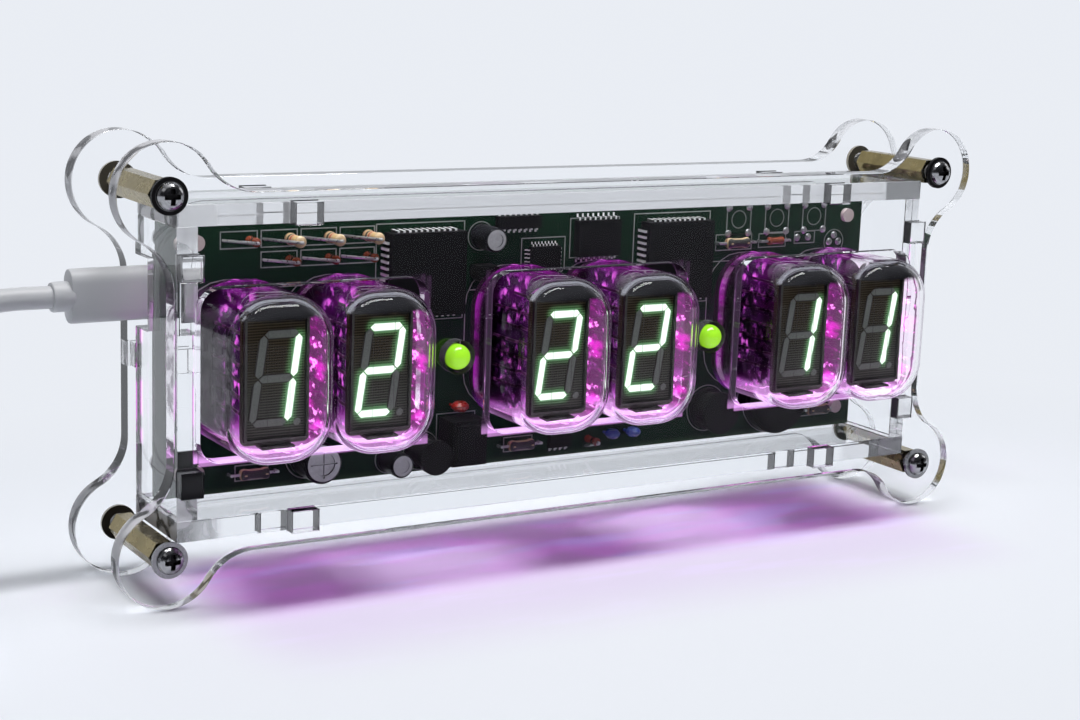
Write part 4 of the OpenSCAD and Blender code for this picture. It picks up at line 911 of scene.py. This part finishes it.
def plateRing(spec):
    ex, ez, er, br = spec["screwX"], spec["screwZ"], spec["earR"], spec["blendR"]
    fx, fz = spec["waistX"] + br, spec["waistZ"] + br
    sideZ = ez - sqrt((er + br) ** 2 - (fx - ex) ** 2)
    topX = ex - sqrt((er + br) ** 2 - (fz - ez) ** 2)
    sideTurn = atan2(ez - sideZ, ex - fx) * 180 / pi
    topTurn = atan2(fz - ez, topX - ex) * 180 / pi
    blendSteps = spec["blendSteps"]
    corner = arcRing(fx, sideZ, br, 180, sideTurn, blendSteps)
    corner += arcRing(ex, ez, er, sideTurn - 180, topTurn, spec["earSteps"])[1:]
    corner += arcRing(topX, fz, br, topTurn - 180, -90, blendSteps)[1:]
    ring = list(corner)
    ring += [(-x, z) for x, z in corner[::-1]]
    ring += [(-x, -z) for x, z in corner]
    ring += [(x, -z) for x, z in corner[::-1]]
    return ring


def fourWays(x, z):
    return [(sx * x, sz * z) for sx in (-1, 1) for sz in (-1, 1)]


def addSheet(side, form, outline, holes, place):
    shape = moved(sheetShape(outline, holes, case["sheet"], case["bevel"]), place)
    piece = meshObject(side + form.capitalize(), [shape], [finish["acrylic"], finish["cutEdge"]])
    settle(piece, "case", "clear_sheet", f"{side}_{form}")


def addPlates(spec):
    clear = 2 * spec["tabClear"]
    slotT, levelW, endW = (spec[key] + clear for key in ("sheet", "tabW", "sideTabW"))
    shared = [circleRing(x, z, spec["screwHole"], 24) for x, z in fourWays(spec["screwX"], spec["screwZ"])]
    shared += [boxRing(x, z, levelW, slotT) for x, z in fourWays(spec["tabX"], levelMid)]
    front = shared + [boxRing(x, z, slotT, endW) for x, z in fourWays(endMid, spec["sideTabZ"])]
    window = roundedRing(*spec["window"], spec["windowSteps"])
    front += [shiftRing(window, k * spec["pairPitch"], 0) for k in (-1, 0, 1)]
    front += [circleRing(k * spec["pairPitch"] / 2, 0, spec["colonHole"]) for k in (-1, 1)]
    px, pz, pr = spec["post"]
    rear = shared + [boxRing(side * endMid, 0, slotT, endW) for side in (-1, 1)]
    rear += [circleRing(x, z, pr, 16) for x, z in fourWays(px, pz)]
    rear += [circleRing(x, spec["buttonZ"], spec["buttonHole"], 24) for x in switchXs]
    for side, holes, depth in (("front", front, 0), ("rear", rear, rearFace)):
        place = Matrix.Translation((0, faceAt + depth, midAt)) @ facing
        addSheet(side, "plate", plateRing(spec), holes, place)


def panelDepths(spec):  # front edge, rear edge, ends of the rear tabs
    rear = rearFace - spec["gap"]
    return spec["sheet"] + spec["gap"], rear, rear + spec["sheet"]


def levelRing(spec):  # x and depth, from the front tabs round to the rear ones
    x, half, gap = spec["boxX"], spec["tabW"] / 2, spec["gap"]
    front, rear, tip = panelDepths(spec)
    ring = [(-x, front)]
    for tab in (-spec["tabX"], spec["tabX"]):
        ring += [(tab - half, front), (tab - half, gap), (tab + half, gap), (tab + half, front)]
    ring += [(x, front), (x, rear)]
    for tab in (spec["tabX"], -spec["tabX"]):
        ring += [(tab + half, rear), (tab + half, tip), (tab - half, tip), (tab - half, rear)]
    return ring + [(-x, rear)]


def endRing(spec, notched):  # depth and height
    z = spec["boxZ"] - spec["sheet"] - spec["gap"]
    half, tabZ, gap = spec["sideTabW"] / 2, spec["sideTabZ"], spec["gap"]
    front, rear, tip = panelDepths(spec)
    ring = [(front, -z), (rear, -z), (rear, -half), (tip, -half), (tip, half), (rear, half)]
    if notched:
        start, middle, height = spec["notch"]
        low, high = middle - height / 2, middle + height / 2
        ring += [(rear, low), (start, low), (start, high), (rear, high)]
    ring += [(rear, z), (front, z)]
    for tab in (tabZ, -tabZ):
        ring += [(front, tab + half), (gap, tab + half), (gap, tab - half), (front, tab - half)]
    return ring


def addPanels(spec):
    t = spec["sheet"]
    for side, z in (("top", spec["boxZ"] - t), ("bottom", -spec["boxZ"])):
        addSheet(side, "panel", levelRing(spec), [], Matrix.Translation((0, faceAt, midAt + z)))
    onEnd = Matrix(((0, 0, 1, 0), (1, 0, 0, 0), (0, 1, 0, 0), (0, 0, 0, 1)))
    for side, x, notched in (("left", -spec["boxX"], True), ("right", spec["boxX"] - t, False)):
        place = Matrix.Translation((x, faceAt, midAt)) @ onEnd
        addSheet(side, "panel", endRing(spec, notched), [], place)


addPlates(case)
addPanels(case)
print("case sheets made")

# Tubes

tube = {
    "width": 20.6,
    "height": 31.0,
    "cornerR": 8.5,
    "shoulderR": 5.5,
    "domeSlope": 16.0,
    "glass": 1.0,
    "reach": 12.0,
    "depth": 24.45,  # from the dome to the rear rim
    "baseT": 2.0,
    "baseBevel": 0.5,
    "baseGap": 0.1,
    "cornerSteps": 14,
    "shoulderSteps": 14,
    "domeSteps": 10,
    "wallSteps": 6,
}


def bulbRings(spec, skin):  # rings from the dome's middle to the rear rim, set in by skin
    r = spec["shoulderR"] - skin
    slope = radians(spec["domeSlope"])
    edge = skin + r * (1 - sin(slope))
    domeHigh = tan(slope) * (spec["width"] / 2 - spec["shoulderR"] * (1 - sin(slope))) / 2
    foot = domeHigh + spec["shoulderR"] * cos(slope)

    def ringAt(inset, depth, scale=1.0):
        corner = max(spec["cornerR"] - inset, 0.5)
        size = (spec["width"] - 2 * inset, spec["height"] - 2 * inset)
        outline = roundedRing(*size, corner, spec["cornerSteps"])
        return [(x * scale, depth - spec["reach"], z * scale) for x, z in outline]

    rim = foot - r * cos(slope)
    rise = tan(slope) * (spec["width"] / 2 - edge) / 2
    rings = []
    for k in range(1, spec["domeSteps"]):
        s = k / spec["domeSteps"]
        rings.append(ringAt(edge, rim - rise * (1 - s * s), s))
    for k in range(spec["shoulderSteps"] + 1):
        a = slope + (pi / 2 - slope) * k / spec["shoulderSteps"]
        rings.append(ringAt(skin + r * (1 - sin(a)), foot - r * cos(a)))
    rear = spec["depth"] - skin
    for k in range(1, spec["wallSteps"] + 1):
        rings.append(ringAt(skin, foot + (rear - foot) * k / spec["wallSteps"]))
    return rings + [ringAt(skin + 0.1, rear, scale) for scale in (0.6, 0.2)]


def addBulbs(spec):
    outer = loft(bulbRings(spec, 0))
    outer["faces"] = turnedOver(outer["faces"])
    inner = loft(bulbRings(spec, spec["glass"]), 1)
    outline = roundedRing(spec["width"], spec["height"], spec["cornerR"], 8)
    behind = Matrix.Translation((0, spec["depth"] - spec["reach"] + spec["baseGap"], 0)) @ facing
    disc = moved(sheetShape(outline, [], spec["baseT"], spec["baseBevel"]), behind)
    places = [Matrix.Translation((x, faceY, midZ)) for x in tubeXs]
    skins = [finish["bulbOuter"], finish["bulbInner"]]
    for i, place in enumerate(places):
        bulb = meshObject(f"bulb{i + 1}", [outer, inner], skins, 60, place)
        settle(bulb, "case", "tube_glass", f"bulb_{i + 1}")
    for i, place in enumerate(places):
        base = meshObject(f"tubeBase{i + 1}", [disc], [finish["base"]] * 2, 40, place)
        settle(base, "case", "tube_glass", *([] if i else ["tube_bases"]))


def segmentLines(spec):
    across = (spec["width"] - spec["stroke"]) / 2
    up = (spec["height"] - spec["stroke"]) / 2
    trim = spec["stroke"] / 2
    lean = tan(radians(spec["slant"]))
    reach = across - trim
    level = [((-reach, z), (reach, z)) for z in (up, -up, 0)]
    above = [((x, up - trim), (x, trim)) for x in (across, -across)]
    below = [((x, -trim), (x, trim - up)) for x in (across, -across)]
    ends = [level[0], above[0], below[0], level[1], below[1], above[1], level[2]]
    return [tuple(Vector((x + z * lean, z)) for x, z in pair) for pair in ends]


def fromLine(p, a, b):
    along = max(0, min(1, (p - a).dot(b - a) / (b - a).length_squared))
    return (p - a - along * (b - a)).length


def gridShape(w, h, columns, rows, y):  # flat net of squares that carries the glow
    xs = [(c / columns - 0.5) * w for c in range(columns + 1)]
    zs = [(r / rows - 0.5) * h for r in range(rows + 1)]
    verts = [(x, y, z) for z in zs for x in xs]
    firsts = [r * (columns + 1) + c for r in range(rows) for c in range(columns)]
    return {"verts": verts, "faces": [[k, k + 1, k + columns + 2, k + columns + 1] for k in firsts]}


def addDisplayPlates(spec):
    lines = segmentLines(spec)
    for i, x in enumerate(tubeXs):
        node = f"display_plate_{i + 1}"
        low, high = (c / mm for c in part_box(node))
        w, h = high.x - low.x, high.z - low.z
        inset = 2 * spec["netInset"]
        outline = roundedRing(w, h, spec["plateCorner"], 4)
        ceramic = moved(sheetShape(outline, [], high.y - low.y, spec["plateBevel"]), facing)
        net = gridShape(w - inset, h - inset, *spec["net"], -spec["netLift"])
        place = Matrix.Translation((x, low.y * mm, midZ))
        piece = meshObject(f"displayPlate{i + 1}", [ceramic, net], [finish["plate"]] * 2, 30, place)
        lit = [lines[k] for k in spec["lines"][spec["shown"][i]]]
        halo = piece.data.attributes.new("halo", "FLOAT", "POINT")
        for vert, value in zip(piece.data.vertices, halo.data):
            p = Vector((vert.co.x, vert.co.z)) / mm
            near = min(fromLine(p, a, b) for a, b in lit) - spec["stroke"] / 2
            front = vert.co.y < 2 * spec["plateBevel"] * mm
            value.value = max(0, 1 - max(near, 0) / spec["halo"]) ** spec["haloFall"] if front else 0
        settle(piece, "case", "display_ceramic", node)


filament = {
    "wire": 0.07,
    "across": 4.33,  # between the two wires
    "wireDepth": 0.1,  # behind the posts' front
    "post": (6.5, 0.6, 0.2),  # width, height, corner radius
    "studR": 0.18,
    "studAside": 0.3,  # share of the post's width
    "studEnds": (0.2, -0.25),
}


def addFilaments(spec):
    low, high = (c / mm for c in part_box("filaments"))
    w, h, corner = spec["post"]
    wireY = low.y + spec["wireDepth"]
    studBack, studFront = (low.y + end for end in spec["studEnds"])
    shapes = []
    for x in (x / mm for x in tubeXs):
        for z in (low.z + h / 2, high.z - h / 2):
            ring = shiftRing(roundedRing(w, h, corner, 3), x, z)
            shapes.append(loft([[(px, y, pz) for px, pz in ring] for y in (high.y, low.y)]))
            for foot in (x - spec["studAside"] * w, x + spec["studAside"] * w):
                shapes.append(rod((foot, studBack, z), (foot, studFront, z), spec["studR"]))
        for at in (x - spec["across"] / 2, x + spec["across"] / 2):
            shapes.append(rod((at, wireY, low.z + h), (at, wireY, high.z - h), spec["wire"] / 2, 6))
    settle(meshObject("filamentWires", shapes, [finish["darkSteel"]], 40), "case", "grid_steel", "filaments")


addBulbs(tube)
addDisplayPlates(digit)
addFilaments(filament)
print("tubes made")

# Board print and solder

prints = {
    "heights": (0.03, 0.027, 0.024, 0.021),  # boxes, rings, tubes, rules: no two lie in one plane
    "line": 0.22,
    "boxes": [  # x, distance from mid-height, width, height
        *((x, 22.2, 7.4, 3.2) for x in (-68.9, -60.7, -52.5, -44.3)),
        *((x, 18.2, 7.4, 3.0) for x in (-60.7, -52.5, -44.3)),
        (46.5, 17.1, 9.6, 3.4),
        (57.0, 17.1, 7.4, 3.0),
        (66.0, 17.4, 5.6, 2.6),
        *((x, case["buttonZ"], 6.4, 6.4) for x in switchXs),
        (-30.4, 14.3, 19.6, 19.6),
        (30.0, 14.3, 19.6, 19.6),
        (10.4, 19.6, 12.0, 8.2),
        (-2.0, 14.8, 10.4, 10.4),
        (-21.4, -20.2, 8.8, 10.2),
        (-66.0, -23.0, 6.8, 3.0),
        (-6.5, -23.0, 6.8, 3.0),
        (71.8, -22.1, 8.4, 3.2),
    ],
    "rings": [  # x, distance from mid-height, radius
        *((x, case["buttonZ"], 1.9) for x in switchXs),
        (74.4, 16.1, 2.7),
        (-54.4, -20.8, 4.6),
        (-36.6, -23.3, 2.9),
        (-16.8, 20.9, 2.9),
        (-29.2, -22.3, 4.0),
        (41.4, -19.5, 5.1),
        (59.5, -18.3, 8.3),
    ],
    "tube": (19, 29.4, 8, 5),  # width, height, corner radius and its steps
    "rules": [  # x, distance from mid-height, x of the other end
        (-74, 12.6, -41), (-19, 10.0, -2.5), (22, 2.4, 38), (41, 13.0, 79), (22, -12.0, 38),
    ],
}


def ribbon(points, width, height):  # flat lines on the board's front, thin as ink
    shapes = []
    for start, end in points:
        a, b = Vector(start), Vector(end)
        along = (b - a).normalized() * width / 2
        side = Vector((-along.y, along.x))
        corners = [a - along - side, b + along - side, b + along + side, a - along + side]
        rings = [[(p.x, boardFrontAt - depth, p.y + midAt) for p in corners] for depth in (0, height)]
        shapes.append(loft(rings))
    return shapes


def closedRibbon(ring, width, height):
    pairs = zip(ring, ring[1:] + ring[:1])
    return ribbon([(a, b) for a, b in pairs if (Vector(b) - Vector(a)).length > 1e-6], width, height)


def addPrint(spec):
    outlines = [
        [boxRing(*box) for box in spec["boxes"]],
        [circleRing(*ring, 28) for ring in spec["rings"]],
        [shiftRing(roundedRing(*spec["tube"]), x / mm, 0) for x in tubeXs],
    ]
    shapes = []
    for rings, height in zip(outlines, spec["heights"]):
        for ring in rings:
            shapes += closedRibbon(ring, spec["line"], height)
    rules = [((ax, z), (bx, z)) for ax, z, bx in spec["rules"]]
    shapes += ribbon(rules, spec["line"], spec["heights"][-1])
    settle(meshObject("boardPrint", shapes, [finish["print"]]), "case", "board_green")


joint = {
    "radius": 0.85,
    "height": 0.5,
    "front": [  # x, distance from mid-height
        *((x + side, z) for z in (19.0, 24.6) for x in switchXs for side in (-2.7, 2.7)),
        (64.0, 17.4),
        (67.0, 17.4),
        (73.1, 16.1),
        (74.4, 17.6),
        (75.7, 16.1),
    ],
    "pinX": 4.5,  # the tubes' pins behind the board, in two columns
    "pinZs": (-7.5, -4.5, -1.5, 1.5, 4.5, 7.5),
}


def addSolder(spec):
    r, h = spec["radius"], spec["height"]
    dome = lathe([(r, 0), (r * 0.9, h * 0.35), (r * 0.6, h * 0.7), (r * 0.25, h)], 12)
    ahead = [Matrix.Translation((x, boardFrontAt, z + midAt)) @ outward for x, z in spec["front"]]
    columns = [x / mm + side * spec["pinX"] for x in tubeXs for side in (-1, 1)]
    behind = [Matrix.Translation((x, boardBackAt, midAt + z)) for x in columns for z in spec["pinZs"]]
    shapes = [moved(dome, place) for place in ahead + [place @ outward.transposed() for place in behind]]
    settle(meshObject("solderJoints", shapes, [finish["solder"]], 50), "case", "bright_wire")


addPrint(prints)
addSolder(joint)
print("board dressed")

# Standing and lying wire parts

wiring = {"diameter": 0.6, "span": 5.0}
bodyProfile = [  # radius and place along the body, both as shares, up to its middle
    (0.3, 0), (0.72, 0.02), (0.93, 0.05), (1, 0.1), (1, 0.18), (0.9, 0.25), (0.86, 0.32),
]
wireParts = [  # places: x, distance from mid-height, and for a lying part the reach of its wire ends
    {
        "name": "Resistor",
        "node": "resistors",
        "finish": "banded",
        "slot": "resistor_beige",
        "body": (2.3, 6.0),
        "standing": [(-59.0, 22.2), (-50.8, 22.2), (-42.6, 22.2)],
        "lying": [(46.5, 17.1, 1.8), (-66.0, -23.0, 1.8), (-6.5, -23.0, 1.8), (71.8, -22.1, 0.6)],
        "low": [],
    },
    {
        "name": "Diode",
        "node": "diodes",
        "finish": "diode",
        "slot": "diode_glass",
        "body": (1.8, 4.2),
        "standing": [(-67.2, 22.2), (-59.0, 18.2), (-50.8, 18.2), (-42.6, 18.2)],
        "lying": [(57.0, 17.1, 1.8)],
        "low": [(10.2, -23.3)],
    },
]


def boardPlace(x, z):
    return Matrix.Translation((x * mm, boardFrontAt * mm, z * mm + midZ)) @ outward


def bodyShape(d, length, start):
    shares = bodyProfile + [(share, 1 - k) for share, k in bodyProfile[::-1]]
    return lathe([(d / 2 * share, start + length * k) for share, k in shares], 24)


def wireShapes(points):
    return [rod(a, b, wiring["diameter"] / 2, slot=1) for a, b in zip(points, points[1:])]


def standingShapes(d, length, span):
    thick = wiring["diameter"]
    top = thick + length
    bend = [(0, top + thick * 0.9), (-span * 0.12, top + thick * 0.75), (-span * 0.3, top * 0.82), (-span, 0)]
    shapes = [bodyShape(d, length, thick)] + wireShapes([(0, 0, 0), (0, 0, top + thick)])
    return shapes + wireShapes([(x, 0, z) for x, z in bend])


def lyingShapes(d, length, reach):
    thick = wiring["diameter"]
    half, high = length / 2 + reach, d / 2 + thick / 2
    along = Matrix.Translation((-length / 2, 0, high)) @ Matrix.Rotation(pi / 2, 4, "Y")
    shapes = [moved(bodyShape(d, length, 0), along)] + wireShapes([(-half, 0, high), (half, 0, high)])
    for x in (-half, half):
        shapes += wireShapes([(x, 0, 0), (x, 0, high + thick / 2)])
    return shapes


def addWireParts(spec):
    body = spec["body"]
    rows = {
        "standing": [(standingShapes(*body, wiring["span"]), boardPlace(x, z)) for x, z in spec["standing"]],
        "lying": [(lyingShapes(*body, reach), boardPlace(x, z)) for x, z, reach in spec["lying"]],
        "low": [
            (standingShapes(*body, body[0]), boardPlace(x, z) @ Matrix.Rotation(pi / 2, 4, "Z"))
            for x, z in spec["low"]
        ],
    }
    materials = [finish[spec["finish"]], finish["solder"]]
    replaced = [spec["node"]]
    for stance, parts in rows.items():
        for k, (shapes, place) in enumerate(parts):
            piece = meshObject(f"{stance}{spec['name']}{k + 1}", shapes, materials, 40, place)
            settle(piece, "case", spec["slot"], *replaced)
            replaced = []  # the first piece stands for the whole node


for wirePart in wireParts:
    addWireParts(wirePart)
print("wire parts made")

# Finishes of the CAD solids that show as they are

chip = {  # node: centre from mid-height and half size of the body, in mm
    "driver_chip_left": ((-30.4, 14.3), (8.3, 8.3)),
    "driver_chip_right": ((30.0, 14.3), (8.3, 8.3)),
    "clock_chip": ((10.4, 19.6), (5.15, 3.75)),
    "controller_chip": ((-2.0, 14.8), (3.5, 3.5)),
}
edgeChips = [((-8.5, 23.5), (5.08, 1.3)), ((3.2, -22.5), (2.54, 1.95))]
dressed = {
    "brass": ["case_standoffs"],
    "screw": ["case_screws"],
    "chrome": ["board_screws", "plug_shell", "supply_shell", "power_socket"],
    "darkSteel": ["grid_frames", "getters"],
    "pins": ["tube_pins"],
    "lit": ["lit_segments"],
    "unlit": ["unlit_segments"],
    "board": ["circuit_board"],
    "nylon": ["board_posts"],
    "black": [
        "converter_block", "transistors", "buzzer", "switch_bodies", "coil_tie",
        "button_1", "button_2", "button_3",
    ],
    "can": ["vented_capacitor", "small_capacitors"],
    "ferrite": ["inductors"],
    "disc": ["ceramic_capacitors"],
    "colon": ["colon_lights"],
    "lamp": ["backlight_lamps"],
    "sensor": ["light_sensor"],
    **{node: [node] for node in (*chip, "edge_chips")},
}


def pastBody(x, height, centre, half):  # distance outside a chip's moulding
    return (abs(x - centre[0]) - half[0]).most(abs(height - centre[1]) - half[1])


def mouldTone(mould):
    return blend(mould, (0.003, 0.003, 0.004), (0.01, 0.01, 0.012))


def chipPaint(centre, half):  # black body, tinned leads outside its edges, painted shade on their flanks
    def paint(flow):
        x, height = casePlace(flow)[::2]
        lead = pastBody(x, height, centre, half) > 0.03
        wayX, wayZ = surfaceWay(flow)[::2]
        level = abs(height - centre[1]) > half[1]
        # painted shade: the leads' side faces dark
        flank = level * (abs(wayX) > 0.7) + (1 - level) * (abs(wayZ) > 0.7)
        tin = blend(flank, (0.8, 0.8, 0.82), grey(0.06))
        mould = grain(flow, 4.0, 3.0)
        return {
            "Base Color": blend(lead, mouldTone(mould), tin),
            "Metallic": 0.4 * lead,
            "Roughness": 0.5 + 0.15 * mould - 0.25 * lead,
            "Normal": bumped(mould * (1 - lead), 0.25, 0.02),
        }

    return paint


def edgeChipPaint(flow):
    x, height = casePlace(flow)[::2]
    first, second = (pastBody(x, height, *body) for body in edgeChips)
    lead = first.least(second) > 0.03
    return {
        "Base Color": blend(lead, mouldTone(grain(flow, 4.0, 3.0)), (0.72, 0.72, 0.74)),
        "Metallic": 0.4 * lead,
        "Roughness": 0.5 - 0.25 * lead,
    }


def dressNode(node, material):
    solid = nodes[node].data
    solid.materials.clear()
    solid.materials.append(material)
    for polygon in solid.polygons:
        polygon.material_index = 0
    solid.shade_smooth()
    solid.set_sharp_from_angle(angle=radians(32))


for chipNode, body in chip.items():
    finish[chipNode] = makeMaterial(chipNode + "Epoxy", dull, chipPaint(*body))
finish["edge_chips"] = makeMaterial("edgeChipEpoxy", dull, edgeChipPaint)
for key, names in dressed.items():
    for name in names:
        dressNode(name, finish[key])
print("solids dressed")

# Stage and light

stage = {
    "floor": (0.82, 0.85, 0.905),
    "half": 3.0,
    "bend": 0.6,  # radius of the sweep behind
    "bendSteps": 12,
    "behind": 1.3,
    "clearOf": (0.03, 0.14),  # distances from the case where the floor turns into even backdrop
    "aim": (0, 0, 0.045),
    "panels": {  # place, size and watts
        "keyPanel": ((0.0, -0.1, 0.95), (0.8, 0.15), 9.3),
        "fillPanel": ((-0.7, -0.45, 0.8), (0.4, 0.4), 0.3),
        "sidePanel": ((0.8, 0.0, 0.35), (0.4, 0.4), 0.6),
    },
    "glow": {"from": -32.0, "to": 17.0, "soft": 14.0, "half": 92.0, "strength": 0.27},  # mm ahead of the face
    "boardGlow": {"ahead": 2.5, "watts": 0.003, "tint": (0.95, 0.1, 1.0)},
    "worldStrength": 0.3,
}


def paintFloor(flow):  # pale, with the tubes' light painted on it, broken up, in front of the case: as glow, and as a purple tint in its colour over the shadow band
    x, y = objectPlace(flow)[:2]
    glow = stage["glow"]
    start, end, soft = glow["from"], glow["to"], glow["soft"]
    cloud = flow.node("TexNoise", None, {"Scale": 3.0, "Detail": 2.0}, out="Fac")
    ahead = faceAt - y
    near = spread(ahead, start, start + soft) * spread(ahead, end, end - soft)
    far = spread(ahead, end - soft, end) * spread(ahead, 3 * end, end)
    across = within(x, glow["half"] - 22, 22)
    patch = grain(flow, 0.045, 2.0, (0.7, 1.7, 1))
    streak = grain(flow, 0.05, 3.0, (0.55, 2.6, 1))
    lit = across * (near * (0.45 + 0.55 * spread(patch, 0.4, 0.62)) + 0.2 * far * spread(streak, 0.5, 0.66))
    # painted light: the tubes' purple in the floor's colour
    stainAndPaintedGlow = across * (0.6 * near + 0.3 * far)
    pale = blend(cloud * 0.06, stage["floor"], (0.7, 0.72, 0.78))
    tint = blend(spread(streak, 0.5, 0.64), (0.6, 0.02, 0.7), (0.5, 0.2, 1.0))
    return {
        "Base Color": blend(stainAndPaintedGlow, pale, (0.6, 0.34, 0.78)),
        "Roughness": 0.55 + 0.1 * cloud,
        **glowing(lit, tint),
    }


def evenBackdrop(material):  # far from the case the floor shows its plain colour to the eye, metal and glass
    flow = Flow(material.node_tree)
    where = apart(flow.node("NewGeometry", out="Position"))
    squares = 0
    for axis in (0, 1):
        low, high = plateLow[axis], rearHigh[axis]
        past = (abs(where[axis] - (low + high) / 2) - (high - low) / 2).most(0.0)
        squares = past * past + squares
    rays = [flow.node("LightPath", out=f"Is {kind} Ray") for kind in ("Camera", "Glossy", "Transmission")]
    share = spread(squares ** 0.5, *stage["clearOf"]) * rays[0].most(rays[1]).most(rays[2])
    plain = flow.node("Emission", None, {"Color": rgba(stage["floor"]), "Strength": 1.0})
    coverGround(material, share, plain)


def addStage(spec):
    half, bend, steps = spec["half"], spec["bend"], spec["bendSteps"]
    foot = spec["behind"] - bend
    profile = [(-half, 0.0), (foot, 0.0)]
    for k in range(1, steps + 1):
        a = pi / 2 * k / steps
        profile.append((foot + bend * sin(a), bend * (1 - cos(a))))
    profile.append((spec["behind"], half))
    verts = [(x, y, z) for y, z in profile for x in (-half, half)]
    faces = [[2 * i, 2 * i + 1, 2 * i + 3, 2 * i + 2] for i in range(len(profile) - 1)]
    mesh = bpy.data.meshes.new("floorSweep")
    mesh.from_pydata(verts, [], faces)
    mesh.shade_smooth()
    material = makeMaterial("paleFloor", {"Emission Strength": spec["glow"]["strength"]}, paintFloor)
    evenBackdrop(material)
    mesh.materials.append(material)
    linked("floorSweep", mesh)


def addLamp(name, kind, watts, place):
    lamp = linked(name, bpy.data.lights.new(name, kind))
    lamp.data.energy = watts
    lamp.location = place
    return lamp


def addPanelLight(name, place, size, watts, aim):
    lamp = addLamp(name, "AREA", watts, place)
    lamp.data.shape = "RECTANGLE"
    lamp.data.size, lamp.data.size_y = size
    lamp.visible_transmission = False  # its light already passes the clear pieces
    lamp.rotation_euler = (Vector(aim) - Vector(place)).to_track_quat("-Z", "Y").to_euler()


def addGlow(spec):  # the lamps' light on the board
    for i, x in enumerate(tubeXs):
        place = (x, (boardFrontAt - spec["ahead"]) * mm, midZ)
        lamp = addLamp(f"boardGlow{i + 1}", "POINT", spec["watts"], place)
        lamp.data.color = spec["tint"]
        lamp.data.shadow_soft_size = 0.0


def addWorld(strength):  # bright behind the clock, dim in front of it and overhead
    world = bpy.data.worlds.new("studio")
    world.use_nodes = True
    scene.world = world
    tree = world.node_tree
    y, z = apart(Flow(tree).node("TexCoord", out="Generated"))[1:]
    tone = blend(spread(y, -0.35, 0.35), (0.07, 0.07, 0.08), (0.86, 0.88, 0.93))
    tone = blend(spread(z, 0.3, 0.9), tone, (0.22, 0.23, 0.25))
    ground = tree.nodes["Background"]
    tree.links.new(tone.socket, ground.inputs["Color"])
    ground.inputs["Strength"].default_value = strength


addStage(stage)
addWorld(stage["worldStrength"])
for panelName, panel in stage["panels"].items():
    addPanelLight(panelName, *panel, stage["aim"])
addGlow(stage["boardGlow"])
print("stage lit")
